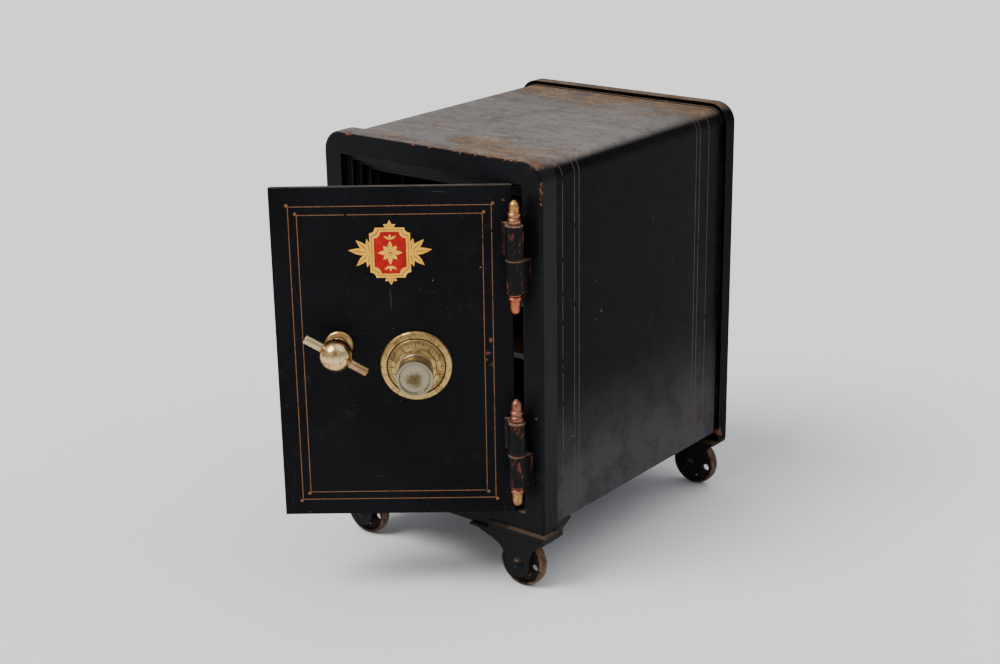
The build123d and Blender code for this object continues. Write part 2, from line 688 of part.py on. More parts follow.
def make_bolt_bar():
    bar_x1 = BOLT_TAIL_X
    bar_x0 = bar_x1 - BAR_W
    slot_w = 2 * (CAM_PIN_R + CAM_SLOT_GAP)
    with BuildPart() as bolt_bar:
        with BuildSketch(door_plane(BAR_FAR)):
            box_between(bar_x0, bar_x1, *BAR_ZS)
            box_between(bar_x0, *CAM_ARM)
            box_between(bar_x0, TAB_XS[1], *LOCK_ARM_ZS)
            with Locations((CAM_PIN_X, CAM_PIN_Z + CAM_PIN_RISE / 2)):
                SlotOverall(slot_w + CAM_PIN_RISE + 0.6, slot_w, rotation=90, mode=Mode.SUBTRACT)
        extrude(amount=BAR_FAR - BAR_NEAR)
        with BuildSketch(door_plane(TAB_FAR)):
            box_between(*TAB_XS, TAB_BOTTOM, LOCK_ARM_ZS[0] + 2)
        extrude(amount=TAB_FAR - BAR_NEAR)
    save(bolt_bar, "bolt_bar")


def make_bolts():
    for name, height in BOLT_HEIGHTS.items():
        with BuildPart() as bolt:
            with BuildSketch(door_across(BOLT_TIP_X)):
                with Locations((BOLT_DEPTH, height)):
                    Circle(BOLT_R)
            extrude(amount=BOLT_TAIL_X - BOLT_TIP_X)
            tip = bolt.edges().filter_by(GeomType.CIRCLE).sort_by(Axis(door_point(0, 0, 0), ALONG))[0]
            fillet(tip, 2.0)
            with BuildSketch(door_across(BOLT_TIP_X + 8.5)):
                box_between(BOLT_DEPTH - 9.0, BAR_FAR, height - 9.0, height + 9.0)
            extrude(amount=BOLT_TAIL_X - BOLT_TIP_X, mode=Mode.SUBTRACT)
        save(bolt, name)


def make_bolt_guides():
    with BuildPart() as bolt_guides:
        with BuildSketch(door_across(GUIDE_X)):
            for height in BOLT_HEIGHTS.values():
                box_between(INNER_PLATE_END, GUIDE_END, height - GUIDE_HALF_H, height + GUIDE_HALF_H)
                with Locations((BOLT_DEPTH, height)):
                    Circle(BOLT_R + RUNNING, mode=Mode.SUBTRACT)
        extrude(amount=GUIDE_T)
        with BuildSketch(door_plane(INNER_PLATE_END)):
            for height in BOLT_HEIGHTS.values():
                for side in SIDES.values():
                    foot_z = height + side * 16.0
                    box_between(GUIDE_X, GUIDE_X + GUIDE_T, foot_z - 6.0, foot_z + 6.0)
        extrude(amount=-GUIDE_FOOT_T)
    save(bolt_guides, "bolt_guides")
    with BuildPart() as guide_screws:
        with BuildSketch(door_plane(INNER_PLATE_END + GUIDE_FOOT_T)):
            for height in BOLT_HEIGHTS.values():
                for side in SIDES.values():
                    with Locations((GUIDE_X + GUIDE_T / 2, height + side * GUIDE_SCREW_RISE)):
                        Circle(2.4)
        extrude(amount=-1.4, taper=15)
    save(guide_screws, "guide_screws")


# ---------------------------------------------------------------- door: dial and combination lock
def make_dial():
    plane = spindle_plane(DIAL_X, DIAL_Z)
    with BuildPart() as dial_ring:
        lathe(plane, ((34.6, 0), (42.6, 0), (42.6, 2.6), (41.4, 4.2), (37.0, 5.6), (35.4, 5.6), (34.6, 4.8)))
    save(dial_ring, "dial_ring")
    with BuildPart() as dial:
        bore = DIAL_SPINDLE_R
        lathe(
            plane,
            (
                (bore, 0.6), (34.0, 0.6), (34.0, 4.6), (33.0, 5.6), (24.5, 9.4), (23.6, 11.0), (20.6, 11.6),
                (17.5, 13.0), (17.5, 15.4), (bore, 15.4),
            ),
        )
    save(dial, "dial")
    with BuildPart() as dial_knob:
        lathe(
            plane,
            (
                (0, DIAL_SPINDLE_OUT), (DIAL_SPINDLE_R, DIAL_SPINDLE_OUT), (DIAL_SPINDLE_R, 15.4),
                (19.6, 15.4), (20.2, 16.4), (20.2, 18.0), (19.4, 19.0), (22.0, KNOB_OUT - 2.8),
                (21.5, KNOB_OUT - 0.8), (19.8, KNOB_OUT), (18.4, KNOB_OUT - 0.5),
                (17.6, KNOB_OUT - 2.2), (0, KNOB_OUT - 2.6),
            ),
        )
        grip = door_point(DIAL_X, DOOR_FACE - 21.0, DIAL_Z)
        with BuildSketch(Plane(origin=grip, x_dir=ALONG, z_dir=INWARD * -1)):
            with PolarLocations(GRIP_R, 36):
                Circle(1.15)
        extrude(amount=22.0, mode=Mode.SUBTRACT)
    save(dial_knob, "dial_knob")
    with BuildPart() as dial_spindle:
        with BuildSketch(door_plane(DOOR_FACE - DIAL_SPINDLE_OUT)):
            with Locations((DIAL_X, DIAL_Z)):
                Circle(DIAL_SPINDLE_R)
        extrude(amount=DOOR_FACE - DIAL_SPINDLE_OUT - DIAL_SPINDLE_END)
    save(dial_spindle, "dial_spindle")


def make_wheel_pack():
    """Drive cam with its notch, and three gated wheels behind it, all picked up by the dial's spindle."""
    with BuildPart() as drive_cam:
        with BuildSketch(door_plane(DRIVE_CAM_DEPTH)):
            with Locations((DIAL_X, DIAL_Z)):
                Circle(DRIVE_CAM_R)
                Circle(DIAL_SPINDLE_R, mode=Mode.SUBTRACT)
            with Locations((DIAL_X - 13.0, DIAL_Z + 16.5)):
                Rectangle(9.0, 9.0, rotation=38, mode=Mode.SUBTRACT)
        extrude(amount=DRIVE_CAM_T)
    save(drive_cam, "drive_cam")
    with BuildPart() as combination_wheels:
        for depth in COMBO_DEPTHS:
            with BuildSketch(door_plane(depth)):
                with Locations((DIAL_X, DIAL_Z)):
                    Circle(COMBO_R)
                    Circle(DIAL_SPINDLE_R, mode=Mode.SUBTRACT)
                with Locations((DIAL_X - 15.0, DIAL_Z + 18.0)):
                    Rectangle(6.0, 9.0, rotation=40, mode=Mode.SUBTRACT)
            extrude(amount=COMBO_T)
    save(combination_wheels, "combination_wheels")


def lock_box(inset, mode=Mode.ADD):
    """Outline of the lock case, or a rectangle inside it."""
    half_w = LOCK_HALF_W - inset
    half_h = LOCK_HALF_H - inset
    box_between(DIAL_X - half_w, DIAL_X + half_w, DIAL_Z - half_h, DIAL_Z + half_h, mode)


def make_lock_case():
    with BuildPart() as lock_case:
        with BuildSketch(door_plane(INNER_PLATE_END)):
            lock_box(0)
        extrude(amount=INNER_PLATE_END - LOCK_END)
        with BuildSketch(door_plane(INNER_PLATE_END + LOCK_WALL)):
            lock_box(LOCK_WALL)
        extrude(amount=INNER_PLATE_END + LOCK_WALL - LOCK_END, mode=Mode.SUBTRACT)
        with BuildSketch(door_plane(INNER_PLATE_END)):
            with Locations((DIAL_X, DIAL_Z)):
                Circle(DIAL_SPINDLE_R + RUNNING)
        extrude(amount=-LOCK_WALL, mode=Mode.SUBTRACT)
        mouth = LOCK_BOLT_W / 2 + 0.3
        with BuildSketch(door_level(LOCK_TOP)):
            box_between(DIAL_X - mouth, DIAL_X + mouth, LOCK_BOLT_NEAR - 0.3, LOCK_BOLT_FAR + 0.3)
        extrude(amount=-LOCK_WALL, mode=Mode.SUBTRACT)
    save(lock_case, "lock_case")
    with BuildPart() as lock_cover:
        with BuildSketch(door_plane(LOCK_END)):
            lock_box(0)
        extrude(amount=-LOCK_COVER_T)
    save(lock_cover, "lock_cover")
    with BuildPart() as lock_cover_screws:
        with BuildSketch(door_plane(LOCK_END + LOCK_COVER_T)):
            with Locations(*COVER_SCREWS):
                Circle(3.2)
        extrude(amount=-1.5, taper=15)
    save(lock_cover_screws, "lock_cover_screws")


def make_lock_bolt():
    half = LOCK_BOLT_W / 2
    with BuildPart() as lock_bolt:
        with BuildSketch(door_level(LOCK_BOLT_BOTTOM)):
            box_between(DIAL_X - half, DIAL_X + half, LOCK_BOLT_NEAR, LOCK_BOLT_FAR)
        extrude(amount=LOCK_TOP + 0.5 - LOCK_BOLT_BOTTOM)
    save(lock_bolt, "lock_bolt")
    with BuildPart() as lock_lever:
        with BuildSketch(door_plane(LOCK_BOLT_FAR)):
            box_between(DIAL_X - LEVER_REACH, DIAL_X + half, LOCK_BOLT_BOTTOM, LEVER_TOP)
        extrude(amount=-1.2)
        with BuildSketch(door_plane(LOCK_BOLT_FAR)):
            nose = (DIAL_X - LEVER_REACH, DIAL_X - LEVER_REACH + 6.0)
            box_between(*nose, LEVER_NOSE_BOTTOM, LEVER_TOP)
        extrude(amount=7.0)
    save(lock_lever, "lock_lever")


# ---------------------------------------------------------------- casters
def make_bracket(row, side_name, wheel_y):
    side = SIDES[side_name]
    near = wheel_y - CHEEK_GAP - FRONT_CHEEK_T
    far = wheel_y + CHEEK_GAP + REAR_CHEEK_T
    under = FRAME_BOTTOM - BRACKET_TOP_T
    outer = side * FRAME_W / 2
    wheel_x = WHEEL_XS[row]
    inner = side * (wheel_x - BRACKET_REACH)

    def cheek(plane_y, thickness, hub_r, reach):
        """Web that hangs from the top plate and rounds the axle."""
        axle = Vector(side * wheel_x, WHEEL_R)
        low = axle.Y - hub_r
        with BuildSketch(Plane(origin=(0, plane_y, 0), x_dir=(1, 0, 0), z_dir=(0, -1, 0))) as web:
            with BuildLine():
                hub = ThreePointArc(
                    (axle.X - side * hub_r, axle.Y), (axle.X, low), (axle.X + side * hub_r, axle.Y)
                )
                out = Spline(
                    hub @ 1, (axle.X + side * (hub_r + 3.5), axle.Y + 18.0), (outer, FRAME_BOTTOM - 2.0),
                    tangents=((0, 1), (side * 0.9, 0.45)),
                )
                back = Spline(
                    hub @ 0, (axle.X - side * (hub_r + 3.5), axle.Y + 13.0), (axle.X - side * reach, under),
                    tangents=((0, 1), (-side * 0.9, 0.35)),
                )
                Polyline(out @ 1, (outer, FRAME_BOTTOM), (axle.X - side * reach, FRAME_BOTTOM), back @ 1)
            make_face()
        extrude(web.sketch, amount=-thickness)

    with BuildPart() as bracket:
        with BuildSketch(Plane.XY.offset(under)):
            box_between(min(inner, outer), max(inner, outer), near, far + 4.0)
        extrude(amount=BRACKET_TOP_T)
        cheek(near, FRONT_CHEEK_T, 18.0, 62.0)
        cheek(far - REAR_CHEEK_T, REAR_CHEEK_T, 12.0, 50.0)
        if row == "front":
            add_ledge(side, outer)
        with BuildSketch(Plane(origin=(0, near, 0), x_dir=(1, 0, 0), z_dir=(0, -1, 0))):
            with Locations((side * wheel_x, WHEEL_R)):
                Circle(AXLE_R)
        extrude(amount=near - far, mode=Mode.SUBTRACT)
        with BuildSketch(Plane.XY.offset(under)):
            with Locations(*[place for place in caster_screw_places(row) if place[0] * side > 0]):
                Circle(SCREW_R)
        extrude(amount=BRACKET_TOP_T, mode=Mode.SUBTRACT)
    save(bracket, f"{row}_{side_name}_caster_bracket")


def add_ledge(side, outer):
    """Moulding with bevelled edges that wraps the foot of the front frame, with a brace under the shell."""
    face_x = outer + side * LEDGE_T
    start_x = outer - side * LEDGE_L
    back = FRONT_FRAME_D + LEDGE_BACK
    with BuildSketch(body_level(FRAME_BOTTOM - BRACKET_TOP_T)) as sole:
        box_between(min(start_x, outer), max(start_x, outer), -SOLE_T, back)
    extrude(sole.sketch, amount=BRACKET_TOP_T)
    with BuildPart(mode=Mode.PRIVATE) as ledge:
        with BuildSketch(body_level(LEDGE_BOTTOM)):
            box_between(min(start_x, face_x), max(start_x, face_x), -LEDGE_T, back)
        extrude(amount=LEDGE_TOP - LEDGE_BOTTOM)
        rims = ledge.faces().sort_by(Axis.Y)[0].edges().filter_by(Axis.X)
        rims += ledge.faces().sort_by(Axis.X)[-1 if side > 0 else 0].edges().filter_by(Axis.Y)
        chamfer(rims, LEDGE_BEVEL)
        with BuildSketch(body_level(FRAME_BOTTOM)):
            box_between(min(start_x, outer), max(start_x, outer), 0.0, back)
        extrude(amount=LEDGE_TOP - FRAME_BOTTOM, mode=Mode.SUBTRACT)
    add(ledge.part)
    brace_x = outer - side * 9.0
    with BuildSketch(Plane(origin=(brace_x, FRONT_Y, 0), x_dir=(0, 1, 0), z_dir=(1, 0, 0))) as brace:
        with BuildLine():
            Polyline(
                (FRONT_FRAME_D, FRAME_BOTTOM - BRACKET_TOP_T),
                (FRONT_FRAME_D + 3.9, FRAME_BOTTOM - BRACKET_TOP_T),
                (FRONT_FRAME_D + 34.0, SHELL_BOTTOM - 3.0), (FRONT_FRAME_D + 34.0, SHELL_BOTTOM),
                (FRONT_FRAME_D, SHELL_BOTTOM), close=True,
            )
        make_face()
    extrude(brace.sketch, amount=side * 4.0)


def make_wheel(row, side_name, wheel_y):
    """Cast wheel: crowned tread, thin web with round lightening holes, plain hub."""
    centre = (SIDES[side_name] * WHEEL_XS[row], wheel_y, WHEEL_R)
    half = WHEEL_W / 2
    rim_r = WHEEL_R - 4.6
    web = 2.4
    hub_r = 9.0
    hub_l = 9.1
    bore = AXLE_R + RUNNING
    profile = (
        (bore, -hub_l), (hub_r - 1, -hub_l), (hub_r, -hub_l + 1), (hub_r + 1, -web), (rim_r - 1.5, -web),
        (rim_r, -half + 0.8), (rim_r + 0.8, -half), (WHEEL_R - 1.8, -half), (WHEEL_R - 0.5, -half + 1.6),
        (WHEEL_R, -1.5), (WHEEL_R, 1.5), (WHEEL_R - 0.5, half - 1.6), (WHEEL_R - 1.8, half),
        (rim_r + 0.8, half), (rim_r, half - 0.8), (rim_r - 1.5, web), (hub_r + 1, web), (hub_r, hub_l - 1),
        (hub_r - 1, hub_l), (bore, hub_l),
    )
    with BuildPart() as wheel:
        lathe(Plane(origin=centre, x_dir=(1, 0, 0), z_dir=(0, 0, 1)), profile)
        with BuildSketch(Plane(origin=centre, x_dir=(1, 0, 0), z_dir=(0, -1, 0)).offset(half)):
            with PolarLocations(18.5, 5, start_angle=-20):
                Circle(5.2)
        extrude(amount=-WHEEL_W, mode=Mode.SUBTRACT)
    save(wheel, f"{row}_{side_name}_wheel")


def make_caster_axles():
    """Four riveted axle pins with a domed head on the outer cheek."""
    with BuildPart() as caster_axles:
        for row, wheel_y in WHEEL_YS.items():
            near = wheel_y - CHEEK_GAP - FRONT_CHEEK_T
            length = 2 * CHEEK_GAP + FRONT_CHEEK_T + REAR_CHEEK_T
            for side in SIDES.values():
                axle = (side * WHEEL_XS[row], near, WHEEL_R)
                start = Plane(origin=axle, x_dir=(1, 0, 0), z_dir=(0, 0, 1))
                profile = (
                    (0, -3.4), (2.6, -3.2), (4.6, -2.2), (5.8, -1.0), (8.2, -0.8), (8.2, 0), (AXLE_R, 0),
                    (AXLE_R, length), (6.0, length), (5.6, length + 1.6), (0, length + 2.4),
                )
                lathe(start, profile)
    save(caster_axles, "caster_axles")


def make_bracket_screws():
    head_z = FRAME_BOTTOM - BRACKET_TOP_T
    places = caster_screw_places("front") + caster_screw_places("rear")
    with BuildPart() as bracket_screws:
        with BuildSketch(Plane.XY.offset(head_z)):
            with Locations(*places):
                Circle(SCREW_R)
        extrude(amount=BRACKET_TOP_T + SCREW_DEPTH - 1.0)
        with BuildSketch(Plane.XY.offset(head_z)):
            with Locations(*places):
                Circle(4.4)
        extrude(amount=-2.0, taper=20)
    save(bracket_screws, "bracket_screws")


def main():
    make_front_frame()
    make_rear_frame()
    make_outer_shell()
    make_bottom_plate()
    make_back_panel()
    make_back_panel_screws()
    make_jamb_frame()
    make_inner_liner()
    make_insulation()
    make_cabinet()
    make_drawer()
    for where, split in HINGE_SPLITS.items():
        make_hinge(where, split)
    make_door_plate()
    make_door_step_frame()
    make_door_insulation()
    make_door_inner_plate()
    make_handle()
    make_bolt_cam()
    make_bolt_bar()
    make_bolts()
    make_bolt_guides()
    make_dial()
    make_wheel_pack()
    make_lock_case()
    make_lock_bolt()
    for row, wheel_y in WHEEL_YS.items():
        for side_name in SIDES:
            make_bracket(row, side_name, wheel_y)
            make_wheel(row, side_name, wheel_y)
    make_caster_axles()
    make_bracket_screws()


main()
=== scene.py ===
"""Looks of a small antique fire safe: worn black japan, tarnished brass, painted lines and ornament."""
import json
import math
import random

import bmesh
import bpy
from mathutils import Matrix, Vector


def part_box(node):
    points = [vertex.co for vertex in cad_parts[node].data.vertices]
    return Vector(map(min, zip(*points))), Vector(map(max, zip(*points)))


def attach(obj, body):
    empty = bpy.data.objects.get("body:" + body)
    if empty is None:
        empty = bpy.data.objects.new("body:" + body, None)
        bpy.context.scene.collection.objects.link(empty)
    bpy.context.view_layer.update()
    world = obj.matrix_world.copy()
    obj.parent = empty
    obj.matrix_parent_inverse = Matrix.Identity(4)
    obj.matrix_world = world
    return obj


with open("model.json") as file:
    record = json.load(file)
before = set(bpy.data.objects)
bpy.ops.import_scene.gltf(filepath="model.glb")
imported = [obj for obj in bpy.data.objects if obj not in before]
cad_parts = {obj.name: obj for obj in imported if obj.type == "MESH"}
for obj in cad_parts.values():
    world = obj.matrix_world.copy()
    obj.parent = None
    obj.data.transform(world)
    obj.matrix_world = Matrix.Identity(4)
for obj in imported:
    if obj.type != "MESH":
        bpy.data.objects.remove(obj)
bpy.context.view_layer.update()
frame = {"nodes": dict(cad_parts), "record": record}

NODES = frame["nodes"]
JOINTS = {joint["name"]: joint for joint in frame["record"]["behaviour"]["joints"]}
UP = Vector((0, 0, 1))
MM = 0.001


# ---- building one procedural material
class Look:
    """One procedural material, built from small named parts. Lengths are metres on the object itself."""

    def __init__(self, name):
        self.material = bpy.data.materials.new(name)
        self.material.use_nodes = True
        self.tree = self.material.node_tree
        self.surface = self.tree.nodes["Principled BSDF"]
        self.place = self.new("ShaderNodeTexCoord").outputs["Object"]
        self.facing = self.new("ShaderNodeNewGeometry").outputs["Normal"]

    def new(self, kind, inputs=None, **settings):
        node = self.tree.nodes.new(kind)
        for key, value in settings.items():
            setattr(node, key, value)
        self.feed_all(node, inputs or {})
        return node

    def feed(self, socket, value):
        if isinstance(value, bpy.types.NodeSocket):
            self.tree.links.new(value, socket)
        elif isinstance(value, tuple) and len(value) == 3 and socket.type == "RGBA":
            socket.default_value = (*value, 1.0)
        else:
            socket.default_value = value

    def feed_all(self, node, inputs):
        for key, value in inputs.items():
            self.feed(node.inputs[key], value)

    def moved(self, shift=0.0, stretch=(1, 1, 1)):
        origin = (shift, shift * 0.7, shift * 1.3)
        node = self.new("ShaderNodeMapping", {"Vector": self.place, "Location": origin, "Scale": stretch})
        return node.outputs["Vector"]

    def noise(self, size, detail=4.0, rough=0.6, shift=0.0, stretch=(1, 1, 1), twist=0.0):
        """Cloudy value from 0 to 1 with features of about the given size."""
        node = self.new("ShaderNodeTexNoise", {
            "Vector": self.moved(shift, stretch), "Scale": 1.0 / size, "Detail": detail,
            "Roughness": rough, "Distortion": twist,
        })
        return node.outputs["Fac"]

    def cells(self, size, shift=0.0, feature="F1"):
        inputs = {"Vector": self.moved(shift), "Scale": 1.0 / size}
        return self.new("ShaderNodeTexVoronoi", inputs, feature=feature).outputs["Distance"]

    def sums(self, operation, a, b=0.0):
        return self.new("ShaderNodeMath", {0: a, 1: b}, operation=operation).outputs[0]

    def vector(self, operation, a, b=(0.0, 0.0, 0.0), output="Vector"):
        return self.new("ShaderNodeVectorMath", {0: a, 1: b}, operation=operation).outputs[output]

    def step(self, value, low, high, to_low=0.0, to_high=1.0):
        """Smooth change from to_low to to_high while the value goes from low to high."""
        inputs = {"Value": value, "From Min": low, "From Max": high, "To Min": to_low, "To Max": to_high}
        return self.new("ShaderNodeMapRange", inputs, interpolation_type="SMOOTHSTEP").outputs["Result"]

    def chain(self, operation, values):
        total = values[0]
        for value in values[1:]:
            total = self.sums(operation, total, value)
        return total

    def both(self, *values):
        return self.chain("MULTIPLY", values)

    def either(self, *values):
        return self.chain("MAXIMUM", values)

    def mix(self, part, a, b):
        return self.new("ShaderNodeMix", {0: part, 6: a, 7: b}, data_type="RGBA").outputs[2]

    def blend(self, part, a, b):
        return self.new("ShaderNodeMix", {0: part, 2: a, 3: b}, data_type="FLOAT").outputs[0]

    def axis(self, vector, index):
        return self.new("ShaderNodeSeparateXYZ", {0: vector}).outputs[index]

    def top_side(self, low=0.5, high=0.95):
        """1 on faces that look up."""
        return self.step(self.axis(self.facing, 2), low, high)

    def edges(self, radius, low=0.004, high=0.12):
        """1 along edges, fading over the given radius."""
        bevel = self.new("ShaderNodeBevel", {"Radius": radius}, samples=6)
        alike = self.vector("DOT_PRODUCT", bevel.outputs["Normal"], self.facing, "Value")
        return self.step(self.sums("SUBTRACT", 1.0, alike), low, high)

    def hollows(self, distance):
        """1 in corners and creases."""
        node = self.new("ShaderNodeAmbientOcclusion", {"Distance": distance}, samples=8)
        return self.step(node.outputs["AO"], 0.55, 0.95, 1.0, 0.0)

    def wandering(self, size, amount):
        """The object's own place, pushed about at random so that round marks turn ragged."""
        node = self.new("ShaderNodeTexNoise", {"Vector": self.place, "Scale": 1.0 / size, "Detail": 4.0})
        push = self.vector("SUBTRACT", node.outputs["Color"], (0.5, 0.5, 0.5))
        return self.vector("ADD", self.place, self.vector("MULTIPLY", push, (amount,) * 3))

    def near(self, centre, radius, spread, place=None):
        """1 around a point of the object, with a soft border."""
        distance = self.vector("DISTANCE", place or self.place, centre, "Value")
        return self.step(distance, radius, radius + spread, 1.0, 0.0)

    def bump(self, height, depth, strength=1.0):
        node = self.new("ShaderNodeBump", {"Strength": strength, "Distance": depth, "Height": height})
        self.feed(self.surface.inputs["Normal"], node.outputs["Normal"])

    def finish(self, colour, rough, metal=0.0, specular=0.5, coat=0.0, coat_rough=0.2):
        self.feed_all(self.surface, {
            "Base Color": colour, "Roughness": rough, "Metallic": metal, "Specular IOR Level": specular,
            "Coat Weight": coat, "Coat Roughness": coat_rough,
        })
        return self.material


# ---- the materials
def dim(tone, factor):
    """The same tone, darker or lighter by a factor."""
    return tuple(factor * part for part in tone)


RUST_DARK = (0.060, 0.024, 0.014)
RUST_LIGHT = (0.21, 0.092, 0.050)
PRIMER = (0.30, 0.21, 0.14)
JAPAN_TONES = (
    (0.0026, 0.0028, 0.0038), (0.0058, 0.0060, 0.0078), (0.0145, 0.0148, 0.0165), (0.0235, 0.0245, 0.0270),
)
FLOOR_REFLECTION_GREY = (0.058, 0.056, 0.060)
ARRIS_WEAR_AND_HIGHLIGHT_GREY = (0.075, 0.076, 0.080)
SCRATCH_GREY = (0.06, 0.06, 0.06)
MOTE_GREY = (0.115, 0.115, 0.12)


def japan_with_floor_reflection(look, cloud, grime, depth, foot):
    """Colour of unbroken black japan: cloudy, smudged with grey, and lighter grey near its foot as a painted
    reflection of the floor.
    """
    shades = [dim(tone, depth) for tone in JAPAN_TONES]
    paint = look.mix(look.step(cloud, 0.35, 0.7), shades[0], shades[1])
    paint = look.mix(look.step(grime, 0.52, 0.85, 0.0, 0.6), paint, shades[2])
    blotch = look.step(look.noise(0.045, 8.0, 0.72, 51.0), 0.54, 0.72)
    area = look.step(look.noise(0.14, 3.0, 0.5, 53.0), 0.48, 0.62)
    paint = look.mix(look.both(blotch, area, 0.55), paint, shades[3])
    # Painted reflection of the floor: the wall turns lighter grey towards its foot.
    if foot:
        low = look.step(look.axis(look.place, 2), foot[0], foot[1], 1.0, 0.0)
        uneven = look.step(look.noise(0.05, 6.0, 0.7, 57.0), 0.3, 0.6)
        paint = look.mix(look.both(low, look.blend(0.5, 1.0, uneven)), paint, FLOOR_REFLECTION_GREY)
    return paint


def bare_places(look, wear, chips, edge, crown, spots, rust_at):
    """1 where the paint is gone: along edges, in flakes, at the spots and in ragged rust."""
    broken = look.step(look.noise(0.075, 4.0, 0.6, 18.0), 0.62 - 0.28 * wear, 0.74 - 0.28 * wear)
    if crown:
        broken = look.either(broken, look.step(look.axis(look.place, 2), crown[0], crown[1], 0.0, 0.9))
    ragged = look.step(look.noise(0.0045, 7.0, 0.78, 2.2), 0.57 - 0.12 * wear, 0.61 - 0.12 * wear)
    worn_edge = look.both(look.edges(edge), broken, ragged)
    flake = look.both(
        look.step(look.noise(0.024, 8.0, 0.74, 12.5), 0.72 - 0.02 * chips, 0.735 - 0.02 * chips),
        look.step(look.noise(0.16, 3.0, 0.5, 6.1), 0.50, 0.56),
    )
    bare = look.either(worn_edge, look.both(flake, 0.8))
    astray = look.wandering(0.004, 0.009)
    for centre, radius in spots:
        bare = look.either(bare, look.near(centre, radius * 0.75, radius * 0.25, astray))
    torn = look.sums("MULTIPLY", look.noise(0.0055, 8.0, 0.80, 61.0, (0.8, 0.8, 0.6), 0.5), 1.6)
    for centre, radius in rust_at:
        mark = look.sums("ADD", look.near(centre, 0.0, radius, astray), torn)
        bare = look.either(bare, look.both(look.step(mark, 1.45, 1.52), 0.92))
    return bare


def dusty_top(look, colour, bare, rust, top, dust):
    """The colour under dust: grey in the middle, umber to the rear, stained by rust at its borders."""
    layer = look.both(top, look.step(look.noise(0.06, 7.0, 0.68, 21.0), 0.10, 0.50))
    coarse = look.noise(0.020, 7.0, 0.76, 23.0, (0.45, 1.0, 1.0))
    fine = look.noise(0.0026, 6.0, 0.80, 24.0, (0.6, 1.0, 1.0))
    grain = look.blend(0.55, coarse, fine)
    veil = look.mix(look.step(grain, 0.38, 0.62), (0.112, 0.106, 0.103), (0.218, 0.201, 0.187))
    bluish = look.step(look.noise(0.030, 5.0, 0.6, 25.0, (0.6, 1.0, 1.0)), 0.66, 0.74)
    veil = look.mix(look.both(bluish, 0.5), veil, (0.30, 0.31, 0.33))
    rear = look.step(look.axis(look.place, 1), 0.02, 0.20, 0.0, 0.60)
    umber = look.mix(look.step(grain, 0.40, 0.60), (0.038, 0.031, 0.027), (0.105, 0.080, 0.060))
    colour = look.mix(look.both(layer, dust), colour, look.mix(rear, veil, umber))
    front = look.step(look.axis(look.place, 1), -0.20, -0.05, 1.0, 0.0)
    right = look.step(look.axis(look.place, 0), -0.10, 0.07, 0.15, 1.0)
    border = look.either(look.both(front, right), look.step(look.axis(look.place, 1), 0.06, 0.20))
    stain = look.sums("ADD", look.noise(0.07, 7.0, 0.74, 31.0), look.sums("MULTIPLY", border, 0.23))
    stain = look.step(stain, 0.55, 0.70)
    streak = look.step(look.noise(0.008, 8.0, 0.80, 33.0, (0.15, 1.0, 1.0)), 0.50, 0.60)
    rusty = look.either(look.both(stain, 0.55), look.both(stain, streak))
    rusty = look.both(top, rusty, min(1.0, dust * 1.2))
    ochre = look.mix(look.step(grain, 0.45, 0.6), (0.130, 0.072, 0.036), (0.30, 0.185, 0.100))
    colour = look.mix(rusty, colour, ochre)
    return look.mix(look.both(bare, top, 0.8), colour, rust)


